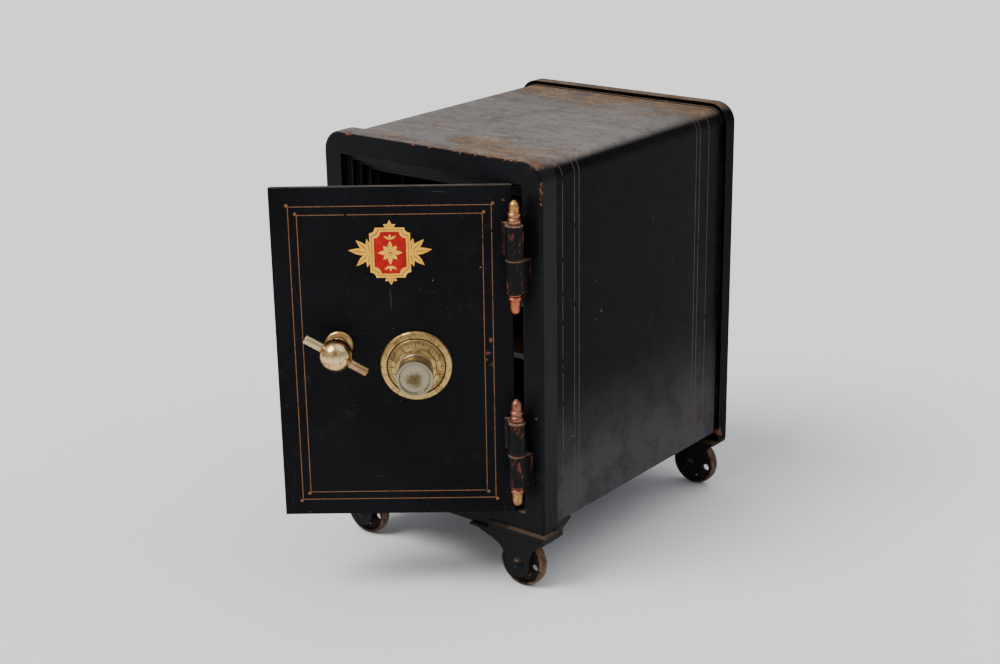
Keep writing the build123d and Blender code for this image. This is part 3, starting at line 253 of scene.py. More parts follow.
def black_paint(
    name, wear=0.5, dust=0.0, chips=0.5, edge=0.0025, spots=(), rust_at=(), crown=None, foot=None,
    grey_wear_and_highlight=False, depth=1.0, gloss=0.06, rubbed=0.5,
):
    """Black japan, cloudy and scratched, worn to rust in places along its edges, dusty on top, and grey
    along its arrises from rubbed paint and a painted highlight.

    Crown and foot are pairs of heights between which the edge wear and the painted reflection of the floor
    fade.
    """
    look = Look(name)
    cloud = look.noise(0.11, 5.0, 0.65, 3.1)
    grime = look.noise(0.018, 6.0, 0.7, 7.7)
    paint = japan_with_floor_reflection(look, cloud, grime, depth, foot)

    upright = look.step(look.noise(0.0035, 2.0, 0.5, 1.7, (1.0, 0.9, 0.05), 0.4), 0.735, 0.76)
    level = look.step(look.noise(0.004, 2.0, 0.5, 9.2, (0.06, 0.07, 1.0), 0.6), 0.745, 0.77)
    scratches = look.both(look.either(upright, level), look.step(cloud, 0.42, 0.6))
    mote_area = look.step(look.noise(0.03, 4.0, 0.6, 16.0), 0.46, 0.58)
    motes = look.both(look.step(look.cells(0.0085, 14.0), 0.085, 0.05), mote_area)
    speck_area = look.step(look.noise(0.05, 3.0, 0.5, 5.9), 0.64 - 0.12 * chips, 0.72 - 0.12 * chips)
    speck = look.both(look.step(look.cells(0.021, 4.4), 0.062, 0.034), speck_area)
    bare = bare_places(look, wear, chips, edge, crown, spots, rust_at)

    rust = look.mix(look.step(look.noise(0.004, 6.0, 0.7, 8.1), 0.35, 0.65), RUST_DARK, RUST_LIGHT)
    rust = look.mix(look.step(look.noise(0.006, 6.0, 0.75, 28.1), 0.60, 0.68, 0.0, 0.7), rust, PRIMER)
    # Grey instead of rust where bare: partly worn paint, partly a painted highlight on the edges of the
    # jamb's steps.
    if grey_wear_and_highlight:
        rust = look.mix(grime, (0.060, 0.060, 0.063), (0.150, 0.140, 0.132))
    # Grey along the arrises: partly paint rubbed thin, partly a painted highlight; rubbed sets its strength.
    arris = look.both(look.edges(0.0014, 0.02, 0.25), look.step(grime, 0.38, 0.60), rubbed)
    colour = look.mix(arris, paint, ARRIS_WEAR_AND_HIGHLIGHT_GREY)
    colour = look.mix(look.both(scratches, 0.4), colour, SCRATCH_GREY)
    colour = look.mix(look.both(motes, 0.5), colour, MOTE_GREY)
    colour = look.mix(look.both(speck, 0.7), colour, PRIMER)
    colour = look.mix(bare, colour, rust)
    rough = look.blend(look.step(cloud, 0.3, 0.75), 0.34, 0.50)
    rough = look.blend(look.both(look.step(grime, 0.45, 0.75), 0.6), rough, 0.64)
    rough = look.blend(look.either(bare, speck), rough, 0.86)
    if dust > 0.0:
        top = look.top_side(0.58, 0.97)
        colour = dusty_top(look, colour, bare, rust, top, dust)
        rough = look.blend(look.both(top, dust), rough, 0.78)
    height = look.blend(0.85, look.noise(0.0022, 3.0, 0.5, 41.0), look.noise(0.03, 4.0, 0.6, 43.0))
    height = look.sums("SUBTRACT", height, look.either(look.both(bare, 0.8), look.both(speck, 0.6)))
    height = look.sums("SUBTRACT", height, look.both(scratches, 0.25))
    look.bump(height, 0.00045, 0.55)
    return look.finish(colour, rough, 0.0, gloss)


def cast_metal(name, paint_left, wear=0.7, edge=0.002, rust_tone=(0.20, 0.075, 0.048), dusty=0.85):
    """Black painted casting: grainy skin, paint rubbed off to reddish iron, brown dirt on top."""
    look = Look(name)
    grain = look.noise(0.0016, 5.0, 0.7, 3.0)
    patch = look.noise(0.011, 7.0, 0.74, 11.0, (1.0, 1.0, 0.45))
    paint = look.mix(look.step(grain, 0.3, 0.7), (0.0022, 0.0023, 0.0030), (0.0072, 0.0070, 0.0078))
    rust = look.mix(look.step(look.noise(0.004, 6.0, 0.7, 5.0), 0.35, 0.65), RUST_DARK, rust_tone)
    stretch = look.step(look.noise(0.035, 4.0, 0.6, 27.0), 0.66 - 0.3 * wear, 0.78 - 0.3 * wear)
    ragged = look.step(patch, 0.62 - 0.24 * wear, 0.68 - 0.20 * wear)
    worn_edge = look.both(look.edges(edge, 0.01, 0.2), ragged, stretch)
    worn = look.either(worn_edge, look.step(patch, 0.48 + 0.25 * paint_left, 0.52 + 0.25 * paint_left))
    polished = look.step(look.noise(0.02, 4.0, 0.6, 17.0), 0.56, 0.68)
    rubbed = look.both(look.edges(edge * 0.4, 0.05, 0.35), polished)
    colour = look.mix(worn, paint, rust)
    # Grey along the arrises: partly rubbed paint, partly a painted highlight.
    arris = look.both(look.edges(edge * 0.4, 0.03, 0.3), look.step(grain, 0.40, 0.60), 0.5)
    colour = look.mix(arris, colour, (0.085, 0.082, 0.080))
    colour = look.mix(look.both(rubbed, 0.7), colour, (0.28, 0.20, 0.13))
    layer = look.both(look.top_side(0.3, 0.9), look.step(patch, 0.34, 0.50), dusty)
    dirt = look.mix(look.step(grain, 0.35, 0.65), (0.13, 0.075, 0.045), (0.34, 0.215, 0.125))
    colour = look.mix(layer, colour, dirt)
    rough = look.blend(look.either(worn, layer), 0.42, 0.85)
    height = look.sums("SUBTRACT", look.blend(0.5, grain, patch), look.both(worn, 0.5))
    look.bump(height, 0.0006, 0.6)
    return look.finish(colour, rough, 0.0, 0.10)


def rusty_iron(name, axle):
    """Cast wheel about an axle point: tread bare and brown with old rust, disc still blackened."""
    look = Look(name)
    coarse = look.noise(0.009, 7.0, 0.72, 1.0)
    fine = look.noise(0.0022, 6.0, 0.7, 4.0)
    colour = look.mix(look.step(coarse, 0.35, 0.62), (0.044, 0.027, 0.018), (0.150, 0.084, 0.052))
    colour = look.mix(look.step(fine, 0.54, 0.75, 0.0, 0.8), colour, (0.23, 0.145, 0.092))
    # Painted shade: near black in the wheel's creases and hollows.
    colour = look.mix(look.both(look.hollows(0.006), 0.85), colour, (0.010, 0.008, 0.007))
    rubbed = look.both(look.edges(0.0016, 0.02, 0.3), look.step(coarse, 0.4, 0.6))
    colour = look.mix(look.both(rubbed, 0.6), colour, (0.27, 0.19, 0.14))
    in_disc = look.vector("MULTIPLY", look.vector("SUBTRACT", look.place, tuple(axle)), (1.0, 0.0, 1.0))
    uneven = look.sums("MULTIPLY", look.sums("SUBTRACT", coarse, 0.5), 0.006)
    reach = look.sums("ADD", look.vector("LENGTH", in_disc, output="Value"), uneven)
    disc = look.step(reach, 0.0280, 0.0302, 1.0, 0.0)
    black = look.mix(look.step(fine, 0.35, 0.7), (0.0045, 0.0040, 0.0040), (0.020, 0.015, 0.012))
    colour = look.mix(look.both(disc, look.step(coarse, 0.60, 0.66, 0.93, 0.25)), colour, black)
    rough = look.blend(rubbed, look.blend(coarse, 0.72, 0.92), 0.5)
    look.bump(look.blend(0.45, coarse, fine), 0.0009, 0.7)
    return look.finish(colour, rough, look.both(rubbed, 0.4), 0.15)


def plated(
    name, plate, under, plate_left=0.5, grime=0.5, rough_low=0.22, spin=None, size=0.010, rubbed=None,
    bands=(), glint=1.45,
):
    """Polished plating, spotted and worn through to the metal beneath.

    Spin is a centre and direction of turned rings, rubbed is a worn place with its radius, bands are pairs
    of heights with their tone, and glint is how much brighter the plate is painted along its arrises, as a
    painted highlight.
    """
    look = Look(name)
    patch = look.noise(size, 8.0, 0.72, 2.0, (1, 1, 1), 0.3)
    fine = look.noise(0.0017, 6.0, 0.75, 6.0)
    worn = look.step(patch, plate_left, plate_left + 0.10)
    if rubbed:
        ragged = look.sums("ADD", look.sums("MULTIPLY", fine, 1.5), patch)
        mark = look.sums("ADD", look.near(rubbed[0], 0.0, rubbed[1]), ragged)
        worn = look.either(worn, look.step(mark, 1.45, 2.05))
    spotted = look.step(look.noise(size * 1.6, 4.0, 0.6, 13.0), 0.40, 0.60)
    spotting = look.both(look.step(fine, 0.60, 0.68), spotted)
    tint = look.mix(look.noise(0.03, 3.0, 0.5, 8.0), under, dim(under, 0.72))
    colour = look.mix(worn, plate, tint)
    for low, high, tone in bands:
        level = look.axis(look.wandering(0.004, 0.004), 2)
        above, below = look.step(level, low, low + 0.0015), look.step(level, high, high + 0.0015, 1.0, 0.0)
        inside = look.both(above, below)
        colour = look.mix(look.both(inside, look.step(patch, 0.40, 0.62, 1.0, 0.25)), colour, tone)
    # Painted highlight: the plate is brighter along its arrises, by the glint factor.
    arris = look.both(look.edges(0.0012, 0.02, 0.25), look.step(fine, 0.35, 0.60), 0.7)
    colour = look.mix(arris, colour, tuple(min(0.85, glint * part) for part in plate))
    dirt = look.either(look.both(look.hollows(0.004), 0.9), look.both(spotting, grime))
    tarnish = look.mix(look.step(fine, 0.66, 0.78), (0.060, 0.030, 0.013), (0.20, 0.085, 0.028))
    colour = look.mix(dirt, colour, tarnish)
    rough = look.blend(look.step(patch, 0.3, 0.7), rough_low, rough_low + 0.16)
    rough = look.blend(dirt, rough, 0.7)
    metal = look.blend(dirt, 1.0, 0.35)
    height = look.blend(0.4, fine, patch)
    if spin:
        centre, direction = spin
        across = look.vector("CROSS_PRODUCT", look.vector("SUBTRACT", look.place, centre), direction)
        reach = look.vector("LENGTH", across, output="Value")
        inputs = {"W": look.sums("MULTIPLY", reach, 2600.0), "Detail": 3.0}
        rings = look.new("ShaderNodeTexNoise", inputs, noise_dimensions="1D")
        height = look.blend(0.35, height, rings.outputs["Fac"])
        rough = look.sums("ADD", rough, look.sums("MULTIPLY", rings.outputs["Fac"], 0.10))
    look.bump(height, 0.00022, 0.5)
    return look.finish(colour, rough, metal, 0.5)


def plain_steel(name, base=(0.30, 0.29, 0.275), rusty=0.3):
    """Oiled machine steel with fine drawn lines and a little rust."""
    look = Look(name)
    lines = look.noise(0.0012, 3.0, 0.6, 2.0, (0.08, 1.0, 1.0))
    patch = look.noise(0.012, 6.0, 0.7, 5.0)
    worn = look.both(look.step(patch, 0.66 - 0.2 * rusty, 0.74 - 0.2 * rusty), 0.85)
    colour = look.mix(lines, base, dim(base, 0.6))
    colour = look.mix(worn, colour, (0.16, 0.075, 0.04))
    # Painted shade: darker in the hollows.
    colour = look.mix(look.both(look.hollows(0.004), 0.7), colour, (0.03, 0.025, 0.02))
    rough = look.blend(worn, look.blend(lines, 0.30, 0.48), 0.8)
    look.bump(look.blend(0.5, lines, patch), 0.0002, 0.4)
    return look.finish(colour, rough, look.blend(worn, 1.0, 0.2), 0.5)


def grey_enamel(name, base):
    """Dull grey paint of the inside, stained and scuffed."""
    look = Look(name)
    cloud = look.noise(0.07, 6.0, 0.66, 4.0)
    speck = look.step(look.noise(0.003, 5.0, 0.7, 9.0), 0.66, 0.72)
    worn = look.both(look.edges(0.0015), look.step(look.noise(0.01, 6.0, 0.7, 6.0), 0.45, 0.55))
    colour = look.mix(look.step(cloud, 0.3, 0.7), base, dim(base, 0.55))
    colour = look.mix(look.both(speck, 0.5), colour, (0.05, 0.035, 0.025))
    colour = look.mix(look.both(worn, 0.8), colour, (0.17, 0.11, 0.075))
    rough = look.blend(cloud, 0.5, 0.72)
    look.bump(look.blend(0.4, look.noise(0.0018, 4.0, 0.6, 3.0), cloud), 0.0004, 0.45)
    return look.finish(colour, rough, 0.0, 0.35)


def wood(name, base, dark, along=(1.0, 0.06, 1.0), shift=0.0):
    """Varnished hardwood: long grain, pores, darker worn arrises."""
    look = Look(name)
    warp = look.noise(0.05, 3.0, 0.5, shift + 2.0, along)
    grain = look.noise(0.006, 6.0, 0.62, shift + 5.0, along, 0.8)
    pores = look.step(look.noise(0.0012, 3.0, 0.6, shift + 7.0, along), 0.60, 0.70)
    rings = look.sums("FRACT", look.sums("MULTIPLY", look.blend(0.35, warp, grain), 7.0))
    ring = look.step(look.sums("ABSOLUTE", look.sums("SUBTRACT", rings, 0.5)), 0.10, 0.48)
    colour = look.mix(ring, base, dark)
    colour = look.mix(look.step(grain, 0.45, 0.7), colour, dim(base, 0.7))
    colour = look.mix(look.both(pores, 0.6), colour, dim(dark, 0.35))
    colour = look.mix(look.both(look.edges(0.0012), 0.5), colour, (0.055, 0.030, 0.017))
    rough = look.blend(look.either(pores, look.step(grain, 0.5, 0.8)), 0.38, 0.6)
    look.bump(look.sums("SUBTRACT", grain, look.both(pores, 0.6)), 0.0004, 0.5)
    return look.finish(colour, rough, 0.0, 0.45, 0.15, 0.25)


def fill_material(name):
    """Pale cast fireproof fill: chalky, pitted, faintly stained."""
    look = Look(name)
    cloud = look.noise(0.05, 6.0, 0.65, 4.0)
    pits = look.step(look.cells(0.006, 2.0), 0.22, 0.08)
    colour = look.mix(cloud, (0.52, 0.49, 0.43), (0.36, 0.32, 0.26))
    colour = look.mix(look.both(pits, 0.6), colour, (0.18, 0.15, 0.12))
    look.bump(look.sums("SUBTRACT", look.noise(0.003, 5.0, 0.7, 8.0), look.both(pits, 0.8)), 0.0012, 0.7)
    return look.finish(colour, look.blend(cloud, 0.85, 0.96), 0.0, 0.25)


def line_paint(name, base, faded, worn_at=0.60):
    """Hand-painted bronze line: uneven film, rubbed dark in places."""
    look = Look(name)
    patch = look.noise(0.012, 6.0, 0.7, 3.0)
    fine = look.noise(0.0016, 4.0, 0.6, 8.0)
    colour = look.mix(look.step(fine, 0.35, 0.65), base, faded)
    colour = look.mix(look.step(patch, worn_at, worn_at + 0.12), colour, (0.035, 0.02, 0.014))
    rough = look.blend(patch, 0.45, 0.7)
    look.bump(fine, 0.0001, 0.4)
    return look.finish(colour, rough, 0.25, 0.4)


def print_paint(name, base, deep, crack=0.5):
    """Old transfer print: uneven colour, crazed film, small losses."""
    look = Look(name)
    patch = look.noise(0.014, 6.0, 0.7, 5.0)
    crazed = look.step(look.cells(0.0042, 3.0, "DISTANCE_TO_EDGE"), 0.035, 0.012)
    colour = look.mix(look.step(patch, 0.35, 0.68), base, deep)
    colour = look.mix(look.both(crazed, crack), colour, dim(deep, 0.35))
    lost = look.step(look.noise(0.009, 7.0, 0.75, 12.0), 0.665, 0.69)
    colour = look.mix(lost, colour, (0.03, 0.025, 0.022))
    rough = look.blend(patch, 0.38, 0.62)
    film = look.sums("SUBTRACT", look.noise(0.002, 3.0, 0.5, 9.0), look.either(crazed, lost))
    look.bump(film, 0.00012, 0.5)
    return look.finish(colour, rough, 0.0, 0.14)


def ink(name):
    """Dark wax in engraved lines and figures."""
    look = Look(name)
    fine = look.noise(0.0012, 4.0, 0.6, 3.0)
    colour = look.mix(look.step(fine, 0.4, 0.7), (0.010, 0.008, 0.005), (0.045, 0.032, 0.016))
    look.bump(fine, 0.0001, 0.4)
    return look.finish(colour, look.blend(fine, 0.6, 0.8), 0.0, 0.3)


# ---- the door's own directions and places
ALONG = Vector(JOINTS["bolt_throw"]["axis"])
INWARD = Vector(JOINTS["handle_turn"]["axis"])
OUTWARD = -INWARD
DIAL_AT = Vector(JOINTS["dial_turn"]["pos_m"])


def middle(node):
    low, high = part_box(node)
    return (low + high) / 2


DOOR_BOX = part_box("door_plate")
DOOR_LOW, DOOR_HIGH = DOOR_BOX[0].z, DOOR_BOX[1].z
DOOR_HALF_T = (DIAL_AT - middle("door_plate")).dot(OUTWARD)
DOOR_W = (DOOR_BOX[1].x - DOOR_BOX[0].x - 2 * DOOR_HALF_T * ALONG.y) / ALONG.x
DOOR_EDGE = middle("door_plate") + ALONG * (DOOR_W / 2) + OUTWARD * DOOR_HALF_T
DOOR_EDGE.z = 0.0


def on_door(from_hinge, z):
    """Point of the door's outer face, measured from its hinge-side edge and from the floor."""
    return DOOR_EDGE - ALONG * from_hinge + UP * z


def door_matrix(origin, out=0.0):
    """Local x along the door to its hinges, y up, z out of its face."""
    place = Matrix((ALONG, UP, OUTWARD)).transposed().to_4x4()
    place.translation = origin + OUTWARD * out
    return place


# ---- making painted and engraved pieces
FILM = 0.12 * MM  # thickness of a painted piece
LIFT = 0.01 * MM  # how far its back lies in front of the surface


def flat_shapes(name, outlines, matrix, material, body, film=FILM):
    """Closed flat pieces that may overlap, each from its own outline and a hair above the one before."""
    verts, faces = [], []
    for index, outline in enumerate(outlines):
        lift = LIFT + index * 0.002 * MM
        base, crest = len(verts), len(verts) + len(outline)
        for height in (lift, lift + film):
            verts += [matrix @ Vector((x, y, height)) for x, y in outline]
        faces += [tuple(range(crest - 1, base - 1, -1)), tuple(range(crest, len(verts)))]
        for k in range(len(outline)):
            after = (k + 1) % len(outline)
            faces.append((base + k, base + after, crest + after, crest + k))
    solid_shape(name, verts, faces, material, body)


def flat_shape(name, loops, matrix, material, body, film=FILM):
    """Closed flat piece from outlines in its own plane; inner outlines are holes."""
    curve = bpy.data.curves.new(name, "CURVE")
    curve.dimensions = "2D"
    curve.fill_mode = "BOTH"
    curve.extrude = film / 2
    for loop in loops:
        spline = curve.splines.new("POLY")
        spline.points.add(len(loop) - 1)
        for point, (x, y) in zip(spline.points, loop):
            point.co = (x, y, 0.0, 1.0)
        spline.use_cyclic_u = True
    mesh = curve_mesh(curve)
    mesh.transform(matrix @ Matrix.Translation((0, 0, film / 2 + LIFT)))
    settle(name, mesh, material, body)


def add_object(name, data):
    thing = bpy.data.objects.new(name, data)
    bpy.context.scene.collection.objects.link(thing)
    return thing


def curve_mesh(curve):
    """Mesh of a filled curve or of text, which is then removed."""
    name = curve.name
    holder = add_object(name, curve)
    mesh = bpy.data.meshes.new_from_object(holder.evaluated_get(bpy.context.evaluated_depsgraph_get()))
    bpy.data.objects.remove(holder)
    bpy.data.curves.remove(curve)
    mesh.name = name
    return mesh


def solid_shape(name, verts, faces, material, body):
    mesh = bpy.data.meshes.new(name)
    mesh.from_pydata(verts, [], faces)
    settle(name, mesh, material, body)


def settle(name, mesh, material, body):
    """Weld, orient and place a finished mesh on its body."""
    work = bmesh.new()
    work.from_mesh(mesh)
    bmesh.ops.remove_doubles(work, verts=work.verts, dist=1e-6)
    bmesh.ops.recalc_face_normals(work, faces=work.faces)
    work.to_mesh(mesh)
    work.free()
    mesh.materials.clear()
    mesh.materials.append(material)
    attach(add_object(name, mesh), body)


def circle(x, y, radius, count=20):
    turns = [2 * math.pi * k / count for k in range(count)]
    return [(x + radius * math.cos(turn), y + radius * math.sin(turn)) for turn in turns]


def brushed_runs(start, end, width, rng, gap_chance, step=3.2 * MM):
    """Outlines of a hand-drawn line: slightly uneven width, with rubbed gaps."""
    direction = (end - start).normalized()
    side = Vector((-direction.y, direction.x))
    length = (end - start).length
    count = max(2, int(length / step))
    runs, left, right = [], [], []
    for index in range(count + 1):
        centre = start + direction * (length * index / count)
        half = width / 2 * rng.uniform(0.80, 1.12)
        left.append(centre + side * half)
        right.append(centre - side * half)
        if len(left) > 2 and rng.random() < gap_chance and index < count - 2:
            runs.append(left + right[::-1])
            left, right = [], []
    if len(left) > 1:
        runs.append(left + right[::-1])
    return [[tuple(point) for point in run] for run in runs]


# ---- painted lines of the door
def door_lines(bronze):
    rng = random.Random(11)
    outer = (23.2 * MM, DOOR_W - 21.2 * MM, DOOR_LOW + 19.5 * MM, DOOR_HIGH - 22.5 * MM)
    inner = (33.6 * MM, DOOR_W - 31.0 * MM, DOOR_LOW + 29.0 * MM, DOOR_HIGH - 32.6 * MM)
    width = 0.98 * MM
    gap_chance = 0.012
    matrix = door_matrix(DOOR_EDGE)
    for name, (near, far, low, high) in (("outer", outer), ("inner", inner)):
        corners = [(-near, low), (-near, high), (-far, high), (-far, low)]
        loops = []
        for index in range(4):
            begin, end = Vector(corners[index]), Vector(corners[(index + 1) % 4])
            step = (end - begin).normalized() * width / 2 * (1 if index % 2 else -1)
            loops += brushed_runs(begin - step, end + step, width, rng, gap_chance)
        flat_shape(f"door_line_{name}", loops, matrix, bronze, "door")
    shift, dot_radius = 1.6 * MM, 1.9 * MM
    dots = []
    for near, far, low, high in (outer, inner):
        for x, sx in ((-near, 1), (-far, -1)):
            for z, sz in ((low, -1), (high, 1)):
                dots.append(circle(x + sx * shift, z + sz * shift, dot_radius))
    flat_shape("door_line_dots", dots, door_matrix(DOOR_EDGE, 0.03 * MM), bronze, "door")


# ---- painted lines of the shell's sides
SIDE_LINES = ((48.5, 0.10), (72.3, 0.02), (81.5, 0.02), (338.5, 0.02), (347.0, 0.02), (368.0, 0.03))
SIDE_LINE_HALF = 0.62 * MM
SIDE_LINE_FILM = 0.08 * MM
SHELL_RADIUS = 20.3 * MM
ON_TOP_STEPS = 11


def side_line_path(wall, low, high):
    """Distances out and heights from the shell's foot up its wall, round the corner and onto the top."""
    pitch, foot, turn_steps = 6 * MM, 4 * MM, 12
    count = int((high - SHELL_RADIUS - low - foot) / pitch) + 1
    path = [(wall, low + foot + k * pitch) for k in range(count)]
    for k in range(1, turn_steps + 1):
        turn = math.radians(90.0 * k / turn_steps)
        out, rise = SHELL_RADIUS * math.cos(turn), SHELL_RADIUS * math.sin(turn)
        path.append((wall - SHELL_RADIUS + out, high - SHELL_RADIUS + rise))
    return path + [(wall - SHELL_RADIUS - k * 4 * MM, high) for k in range(1, ON_TOP_STEPS + 1)]


def brushed_strip(path, side, y, fade, rng):
    """Closed thin strips along the path, of uneven width, broken at random and more often on the top."""
    verts, faces = [], []
    run = 0
    for k, (x, z) in enumerate(path):
        beyond = k - (len(path) - ON_TOP_STEPS)
        cut = rng.random() < (fade if beyond < 0 else 0.12 + 0.05 * beyond)
        ahead = path[min(k + 1, len(path) - 1)]
        behind = path[max(k - 1, 0)]
        tangent = Vector((ahead[0] - behind[0], ahead[1] - behind[1])).normalized()
        normal = Vector((tangent.y, -tangent.x))
        half = SIDE_LINE_HALF * rng.uniform(0.80, 1.12)
        for sy in (-1, 1):
            for lift in (LIFT, LIFT + SIDE_LINE_FILM):
                verts.append((side * (x + normal.x * lift), y + sy * half, z + normal.y * lift))
        run += 1
        a, b = len(verts) - 8, len(verts) - 4
        if run > 1:
            faces += [(a, a + 1, b + 1, b), (a + 2, b + 2, b + 3, a + 3)]
            faces += [(a + 1, a + 3, b + 3, b + 1), (a, b, b + 2, a + 2)]
        if run == 1:
            faces.append((b, b + 2, b + 3, b + 1))
        if run > 1 and (cut or k == len(path) - 1):
            faces.append((b, b + 1, b + 3, b + 2))
            run = 0
    if run == 1:
        faces.pop()
        del verts[-4:]
    return verts, faces


def side_lines(bronze):
    """Vertical lines up each side of the shell, over the rounded corner and fading on the top."""
    low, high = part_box("outer_shell")
    rng = random.Random(5)
    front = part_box("front_frame")[0].y
    for side, label in ((1, "right"), (-1, "left")):
        path = side_line_path(high.x if side > 0 else -low.x, low.z, high.z)
        for index, (back, fade) in enumerate(SIDE_LINES):
            verts, faces = brushed_strip(path, side, front + back * MM, fade, rng)
            solid_shape(f"side_line_{label}_{index}", verts, faces, bronze, "body")


# ---- painted ornament of the door
def petal(x, y, turn, length, width, base=0.0, count=10):
    """Leaf outline from a root and an angle in degrees; lengths in millimetres, the result in metres."""
    points = []
    for k in list(range(count + 1)) + list(range(1 - count, 0)):
        t = abs(k) / count
        half = math.copysign(width / 2, k) * math.sin(math.pi * t ** 0.8)
        points.append(((base + length * t) * MM, half * MM))
    c, s = math.cos(math.radians(turn)), math.sin(math.radians(turn))
    return [(x * MM + c * px - s * py, y * MM + s * px + c * py) for px, py in points]


def notched_panel(half_w, half_h, bite, count=7):
    """Upright rectangle with its corners bitten away by quarter circles; lengths in millimetres."""
    points = []
    for sx, sy, start in ((1, 1, 270), (-1, 1, 0), (-1, -1, 90), (1, -1, 180)):
        for k in range(count + 1):
            turn = math.radians(start - 90.0 * k / count)
            x = sx * half_w * MM + bite * MM * math.cos(turn)
            points.append((x, sy * half_h * MM + bite * MM * math.sin(turn)))
    return points


def rosette():
    """Eight leaves about a boss, and a three-leaved bud above and below it."""
    bud = 15.6
    leaves = [petal(0, 0, 45 * k, 9.0 if k % 2 else 12.0, 5.0, 2.4) for k in range(8)]
    leaves.append(circle(0, 0, 2.9 * MM))
    for sy in (-1, 1):
        leaves.append(petal(0, sy * bud, 90 * sy, 6.8, 3.2))
        for sx in (-1, 1):
            leaves.append(petal(0, sy * bud, 90 * sy - 58 * sx * sy, 8.2, 2.6, 0.6))
    return leaves


def leaf_sprays():
    """Leaves that spread from the panel's sides, top and foot, and the veins along their middles."""
    sprays, veins = [], []
    side_leaves = ((78, 17.0, 6.0), (-78, 17.0, 6.0), (44, 22.0, 7.4), (-44, 22.0, 7.4), (8, 25.0, 8.0))
    for sx in (-1, 1):
        for turn, length, width in side_leaves:
            angle = turn if sx > 0 else 180 - turn
            sprays.append(petal(sx * 23.2, 0, angle, length, width, 0.4, 14))
            veins.append(petal(sx * 23.2, 0, angle, length - 6.0, 0.9, 3.0))
    for sy in (-1, 1):
        for turn, length in ((148, 8.0), (32, 8.0), (90, 9.0)):
            sprays.append(petal(0, sy * 29.6, turn * sy, length, 4.6, 0.2))
            veins.append(petal(0, sy * 29.6, turn * sy, length - 3.0, 0.7, 1.4))
    return sprays, veins


def door_ornament(gold, red, shade):
    """A notched red panel in a gold border with an eight-leaved rosette, and a leaf spray at each side."""
    centre = on_door(140.5 * MM, 430.0 * MM)
    ground = door_matrix(centre)
    raised = door_matrix(centre, 0.10 * MM)
    film = 0.10 * MM
    thin_film = 0.04 * MM
    border = [notched_panel(23.5, 30.0, 6.5), notched_panel(18.6, 25.1, 7.8)]
    bead = [notched_panel(21.4, 27.9, 7.3), notched_panel(20.8, 27.3, 7.5)]
    flat_shape("ornament_ground", [notched_panel(19.5, 26.0, 7.0)], ground, red, "door", film)
    flat_shape("ornament_border", border, raised, gold, "door", film)
    flat_shape("ornament_bead", bead, door_matrix(centre, 0.21 * MM), shade, "door", thin_film)
    flat_shapes("ornament_rosette", rosette(), raised, gold, "door", film)
    heart = door_matrix(centre, 0.23 * MM)
    flat_shapes("ornament_rosette_heart", [circle(0, 0, 1.3 * MM)], heart, shade, "door", thin_film)
    sprays, veins = leaf_sprays()
    flat_shapes("ornament_sprays", sprays, ground, gold, "door", 0.06 * MM)
    flat_shapes("ornament_veins", veins, door_matrix(centre, 0.09 * MM), shade, "door", 0.03 * MM)


# ---- engraving of the dial
CONE_INNER = Vector((24.5, 9.4))  # radius and height of the graduated cone's inner rim, mm
CONE_OUTER = Vector((33.0, 5.6))
CONE_SLOPE = (CONE_OUTER - CONE_INNER).normalized()
TICK_OUTER = 32.6
TICK_LIFT = 0.10
FIGURE_RADIUS = 26.0
INDEX_FROM, INDEX_TO, INDEX_HALF = 36.4, 41.2, 0.22
RING_LAND, RING_TOP, RING_FALL = 37.0, 5.6, 1.4 / 4.4  # where the flat land ends, its height, slope beyond
BAR_FACES = ((0, 2, 3, 1), (4, 5, 7, 6), (0, 1, 5, 4), (2, 6, 7, 3), (0, 4, 6, 2), (1, 3, 7, 5))


def cone_point(radius, lift=0.0):
    """Radius and height of a point of the cone, lifted off its surface; all in millimetres."""
    t = (radius - CONE_INNER.x) / (CONE_OUTER.x - CONE_INNER.x)
    height = CONE_INNER.y + t * (CONE_OUTER.y - CONE_INNER.y)
    return Vector((radius - CONE_SLOPE.y * lift, height + CONE_SLOPE.x * lift))


def dial_directions(turn):
    """Unit vectors away from the dial's centre and across it, at an angle clockwise from the top."""
    return ALONG * math.sin(turn) + UP * math.cos(turn), ALONG * math.cos(turn) - UP * math.sin(turn)


def on_dial(turn, radial, height, across):
    """Point at a radius and height in millimetres, at an angle clockwise from the top, moved sideways."""
    outward, side = dial_directions(turn)
    return DIAL_AT + outward * (radial * MM) + OUTWARD * (height * MM) + side * (across * MM)


def add_bar(verts, faces, turn, ends, half):
    """A bar of some half width, from the radius and height of both its ends below and then above."""
    faces += [[len(verts) + corner for corner in face] for face in BAR_FACES]
    verts += [on_dial(turn, radius, height, across) for radius, height in ends for across in (-half, half)]


def dial_graduations(dark):
    verts, faces = [], []
    for index in range(100):
        inner = 27.6 if index % 10 == 0 else 28.0 if index % 5 == 0 else 29.0
        half = 0.42 if index % 5 == 0 else 0.32
        ends = [cone_point(to, lift) for lift in (-TICK_LIFT, TICK_LIFT) for to in (inner, TICK_OUTER)]
        add_bar(verts, faces, 2 * math.pi * index / 100, ends, half)
    solid_shape("dial_graduations", verts, faces, dark, "dial")


def dial_figure(index, dark):
    """One of ten figures, lying on the cone inside the graduations."""
    turn = 2 * math.pi * index / 10
    name = f"dial_figure_{index * 10}"
    text = bpy.data.curves.new(name, "FONT")
    text.body = str(index * 10)
    text.size = 2.6 * MM
    text.align_x = text.align_y = "CENTER"
    text.extrude = 0.07 * MM
    spot = cone_point(FIGURE_RADIUS, 0.06)
    outward, side = dial_directions(turn)
    upward = (outward * CONE_SLOPE.x + OUTWARD * CONE_SLOPE.y).normalized()
    place = Matrix((side, upward, side.cross(upward))).transposed().to_4x4()
    place.translation = on_dial(turn, spot.x, spot.y, 0.0)
    mesh = curve_mesh(text)
    mesh.transform(place)
    settle(name, mesh, dark, "dial")


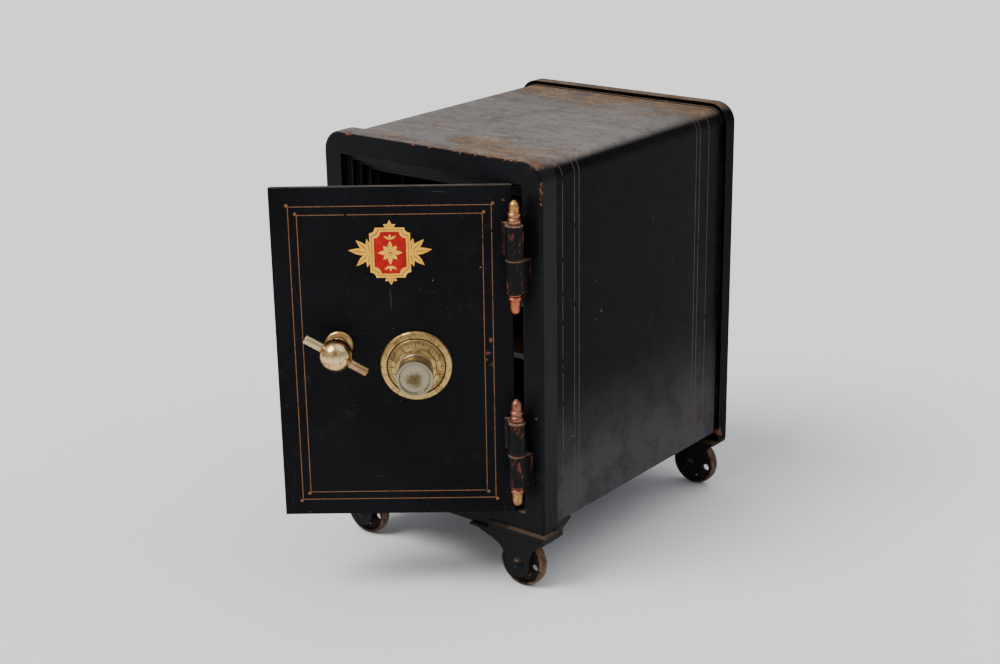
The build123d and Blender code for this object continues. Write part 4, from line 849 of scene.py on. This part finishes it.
def dial_index(dark):
    """Index mark on the fixed ring, above the dial."""
    verts, faces = [], []
    tip = RING_TOP - (INDEX_TO - RING_LAND) * RING_FALL
    ends = [(INDEX_FROM, RING_TOP - 0.25), (INDEX_TO, tip - 0.25)]
    ends += [(INDEX_FROM, RING_TOP + 0.10), (INDEX_TO, tip + 0.10)]
    add_bar(verts, faces, 0.0, ends, INDEX_HALF)
    solid_shape("dial_index", verts, faces, dark, "door")


def dial_engraving(dark):
    """A hundred graduations with figures on the dial's cone, and the index mark on the ring."""
    dial_graduations(dark)
    for index in range(10):
        dial_figure(index, dark)
    dial_index(dark)


# ---- giving every piece its material
# Nodes by material. Frames, shell, door plate, dial, pins and wheels go by their own names; hinges, brackets
# and screws go by their kind; the rest is steel.
NODES_OF = {
    "jamb": "jamb_frame door_step_frame", "back": "bottom_plate back_panel", "ball": "handle_ball",
    "rod": "handle_rod", "knob": "dial_knob", "dial": "dial_ring", "axle": "caster_axles",
    "brass": "handle_escutcheon combination_wheels drive_cam drawer_knob", "drawer": "cash_drawer",
    "inner": "inner_liner door_inner_plate", "lock": "lock_case lock_cover",
    "case": "cabinet_case shelf_divider", "shelf": "upper_shelf lower_shelf",
    "fill": "insulation door_insulation",
}


def beside(corner, offsets):
    """Marks near a corner of a box, from millimetres along x, y and z and a radius."""
    return [((corner[0] + x * MM, corner[1] + y * MM, corner[2] + z * MM), r * MM) for x, y, z, r in offsets]


def frame_paints():
    """Paints of the two frames: rust along the top front edge, down its right corner and at the rear."""
    low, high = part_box("front_frame")
    spots = beside((high.x, low.y, low.z), [(-10, 0, 160, 1.6)])
    right_top = (high.x, low.y, high.z)
    rust = beside(right_top, [(-14, 8, -5, 20)]) + beside((low.x, low.y, high.z), [(40, 3, 0, 13)])
    rust += beside(right_top, [(-62, 5, 0, 11), (-84, 4, 0, 8)])
    rust += beside(right_top, [(0, 1, -drop, 5.2) for drop in (24, 27, 30, 33, 36, 39, 42, 46)])
    chips = (37, 44, 52, 71, 77, 96, 102, 109, 118, 126, 141, 163, 190)
    rust += beside(right_top, [(-run, 1, 0, 7) for run in chips])
    front = black_paint(
        "japan_front_frame", wear=0.30, dust=0.80, chips=0.6, edge=0.0028, spots=spots, rust_at=rust,
        crown=(high.z - 30 * MM, high.z - 6 * MM), depth=1.25, gloss=0.085,
    )
    low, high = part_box("rear_frame")
    rust = beside((low.x, high.y, high.z), [(24, -8, 0, 16)]) + beside(high, [(-24, -8, 0, 12)])
    rust += beside((high.x, low.y, low.z), [(0, 6, 14, 16)])
    rear = black_paint(
        "japan_rear_frame", wear=0.22, dust=0.70, chips=0.6, edge=0.0022, rust_at=rust,
        crown=(high.z - 20 * MM, high.z - 4 * MM), depth=0.5, gloss=0.02,
    )
    return {"front_frame": front, "rear_frame": rear}


def shell_paint():
    low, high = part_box("outer_shell")
    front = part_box("front_frame")[0].y
    marks = [(0, 128, 330, 2.6), (0, 116, 322, 2.0), (0, 96, 336, 1.6), (0, 240, 420, 1.4)]
    # The foot heights set where the painted reflection of the floor fades up the shell's sides.
    return black_paint(
        "japan_shell", wear=0.2, dust=0.95, chips=0.45, edge=0.002, depth=0.6, gloss=0.035,
        spots=beside((high.x, front, 0.0), marks), foot=(low.z + 5 * MM, low.z + 190 * MM),
    )


def door_paint():
    marks = ((9, 490, 1.8), (26, 322, 2.6), (29, 306, 2.4), (25, 292, 2.0), (31, 298, 1.5), (250, 104, 1.8))
    spots = [(tuple(on_door(across * MM, height * MM)), radius * MM) for across, height, radius in marks]
    return black_paint("japan_door", wear=0.30, dust=0.25, chips=0.55, edge=0.0012, spots=spots)


def finials():
    """Tarnished copper of the hinge pins, golden at one dome and redder towards the other end."""
    golden = (0.50, 0.285, 0.085)
    dome = 15 * MM
    upper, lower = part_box("upper_hinge_pin"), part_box("lower_hinge_pin")
    upper_bands = (
        (upper[1].z - dome, upper[1].z, golden),
        (upper[0].z, upper[0].z + 40 * MM, (0.47, 0.130, 0.068)),
    )
    lower_bands = (
        (lower[0].z, lower[0].z + dome + 2 * MM, golden),
        (lower[1].z - 30 * MM, lower[1].z, (0.25, 0.105, 0.070)),
    )
    return {
        "upper_hinge_pin": plated(
            "copper_finial_upper", (0.40, 0.182, 0.088), (0.24, 0.066, 0.036), plate_left=0.48, grime=0.9,
            rough_low=0.30, size=0.007, bands=upper_bands,
        ),
        "lower_hinge_pin": plated(
            "copper_finial_lower", (0.38, 0.150, 0.085), (0.22, 0.055, 0.035), plate_left=0.48, grime=0.9,
            rough_low=0.34, size=0.007, bands=lower_bands,
        ),
    }


def handle_and_dial_metals():
    knob_face = DIAL_AT + OUTWARD * (46 * MM) - UP * (2 * MM)
    rod_end = middle("handle_rod") + ALONG * (36 * MM) - UP * (22 * MM)
    return {
        "ball": plated("worn_nickel_ball", (0.70, 0.51, 0.25), (0.48, 0.235, 0.08), 0.46, 1.0, 0.17),
        "rod": plated(
            "worn_nickel_rod", (0.54, 0.415, 0.225), (0.42, 0.24, 0.11), 0.56, 0.8, 0.22,
            rubbed=(tuple(rod_end), 46 * MM),
        ),
        "knob": plated(
            "nickel_knob", (0.31, 0.272, 0.182), (0.150, 0.115, 0.050), 0.60, 0.7, 0.24,
            size=0.014, rubbed=(tuple(knob_face), 17 * MM), glint=2.3,
        ),
        "dial": plated(
            "brass_dial", (0.50, 0.335, 0.125), (0.27, 0.165, 0.050), 0.50, 0.7, 0.22,
            spin=(tuple(DIAL_AT), tuple(OUTWARD)),
        ),
        "brass": plated("aged_brass", (0.50, 0.32, 0.12), (0.34, 0.18, 0.06), 0.48, 0.7, 0.30),
    }


def all_materials():
    across_grain = (0.06, 1.0, 1.0)
    materials = {
        "outer_shell": shell_paint(),
        "door_plate": door_paint(),
        # The jamb's grey bare edges and full arris grey are partly wear and partly painted highlight.
        "jamb": black_paint(
            "japan_jamb", wear=0.95, dust=0.35, chips=0.4, edge=0.0016, grey_wear_and_highlight=True, depth=2.2,
            gloss=0.14, rubbed=1.0,
        ),
        "back": black_paint("japan_back", wear=0.3, dust=0.3, chips=0.35, edge=0.002),
        "hinge": cast_metal("casting_hinge", 0.33, 0.95, 0.0030, (0.17, 0.048, 0.034)),
        "bracket": cast_metal("casting_bracket", 0.72, 0.55, 0.0016, (0.20, 0.105, 0.060), 0.30),
        "axle": cast_metal("casting_axle", 0.8, 0.5, 0.0012),
        "steel": plain_steel("machine_steel"),
        "screw": plain_steel("screw_steel", (0.20, 0.19, 0.18), 0.9),
        "inner": grey_enamel("grey_inner", (0.075, 0.08, 0.08)),
        "lock": grey_enamel("grey_lock", (0.12, 0.12, 0.115)),
        "case": wood("cabinet_case_wood", (0.034, 0.014, 0.007), (0.014, 0.006, 0.003)),
        "shelf": wood("shelf_wood", (0.034, 0.015, 0.007), (0.014, 0.006, 0.003), across_grain, 3.0),
        "drawer": wood("drawer_wood", (0.075, 0.033, 0.014), (0.030, 0.012, 0.005), across_grain, 9.0),
        "fill": fill_material("fireproof_fill"),
    }
    for group in (frame_paints(), finials(), handle_and_dial_metals()):
        materials.update(group)
    for name in NODES:
        if name.endswith("_wheel"):
            materials[name] = rusty_iron(f"iron_{name}", middle(name))
    return materials


def dress():
    """Every node gets its material, by its own name or by the kind of piece that the name ends with."""
    materials = all_materials()
    kinds = {"_hinge": "hinge", "_bracket": "bracket", "_screws": "screw"}
    shared = {name: key for key, names in NODES_OF.items() for name in names.split()}
    for name, node in NODES.items():
        key = name if name in materials else shared.get(name, "steel")
        for ending, kind in kinds.items():
            if name.endswith(ending):
                key = kind
        node.data.materials.clear()
        node.data.materials.append(materials[key])


# ---- camera, light and floor
VIEW_YAW, VIEW_PITCH, VIEW_ROLL = -38.352, -18.711, -0.903  # degrees
VIEW_FROM = (1.3207, -1.7479, 0.9895)
VIEW_LENS = 63.08  # mm, on a sensor 36 mm wide


def set_camera():
    yaw, pitch, roll = math.radians(VIEW_YAW), math.radians(VIEW_PITCH), math.radians(VIEW_ROLL)
    forward = Vector((math.sin(yaw) * math.cos(pitch), math.cos(yaw) * math.cos(pitch), math.sin(pitch)))
    right = Vector((math.cos(yaw), -math.sin(yaw), 0.0))
    up = right.cross(forward)
    across = right * math.cos(roll) + up * math.sin(roll)
    above = up * math.cos(roll) - right * math.sin(roll)
    place = Matrix((across, above, -forward)).transposed().to_4x4()
    place.translation = Vector(VIEW_FROM)
    data = bpy.data.cameras.new("main_view")
    data.sensor_width = 36.0
    data.lens = VIEW_LENS
    data.clip_start = 0.01
    camera = add_object("main_view", data)
    camera.matrix_world = place
    bpy.context.scene.camera = camera


def add_sun(name, towards_light, strength, spread, tone=(1.0, 1.0, 1.0)):
    """Broad soft light from one direction; the spread is the angle that it fills, in degrees."""
    data = bpy.data.lights.new(name, "SUN")
    data.energy = strength
    data.angle = math.radians(spread)
    data.color = tone
    light = add_object(name, data)
    light.location = Vector(towards_light) * 3.0
    light.rotation_euler = (Vector(towards_light) * -1).to_track_quat("-Z", "Y").to_euler()


def floor_material():
    look = Look("pale_floor")
    tone = look.noise(0.6, 3.0, 0.5, 2.0)
    colour = look.mix(tone, (0.93, 0.93, 0.93), (0.96, 0.96, 0.96))
    return look.finish(colour, 0.9, 0.0, 0.1)


def set_stage():
    mesh = bpy.data.meshes.new("floor")
    reach = 12.0
    corners = [(-reach, -reach, 0), (reach, -reach, 0), (reach, reach, 0), (-reach, reach, 0)]
    mesh.from_pydata(corners, [], [(0, 1, 2, 3)])
    mesh.materials.append(floor_material())
    add_object("floor", mesh)
    world = bpy.data.worlds.new("studio")
    bpy.context.scene.world = world
    world.use_nodes = True
    background = world.node_tree.nodes["Background"]
    background.inputs["Color"].default_value = (0.93, 0.95, 1.0, 1.0)
    background.inputs["Strength"].default_value = 0.62
    add_sun("key", (-0.30, -0.62, 1.0), 2.7, 34.0, (1.0, 0.98, 0.95))
    add_sun("fill", (0.45, 0.35, 1.0), 0.6, 60.0, (0.96, 0.98, 1.0))


def main():
    dress()
    bronze = line_paint("bronze_line", (0.275, 0.118, 0.036), (0.165, 0.070, 0.025), 0.55)
    side_bronze = line_paint("bronze_line_side", (0.092, 0.046, 0.023), (0.052, 0.027, 0.016), 0.54)
    gold = print_paint("ornament_gold", (1.0, 0.56, 0.060), (0.93, 0.42, 0.030), 0.22)
    red = print_paint("ornament_red", (0.52, 0.009, 0.008), (0.36, 0.006, 0.007), 0.4)
    shade = print_paint("ornament_shade", (0.26, 0.11, 0.03), (0.16, 0.06, 0.02), 0.3)
    door_lines(bronze)
    side_lines(side_bronze)
    door_ornament(gold, red, shade)
    dial_engraving(ink("engraving_wax"))
    set_camera()
    set_stage()


main()
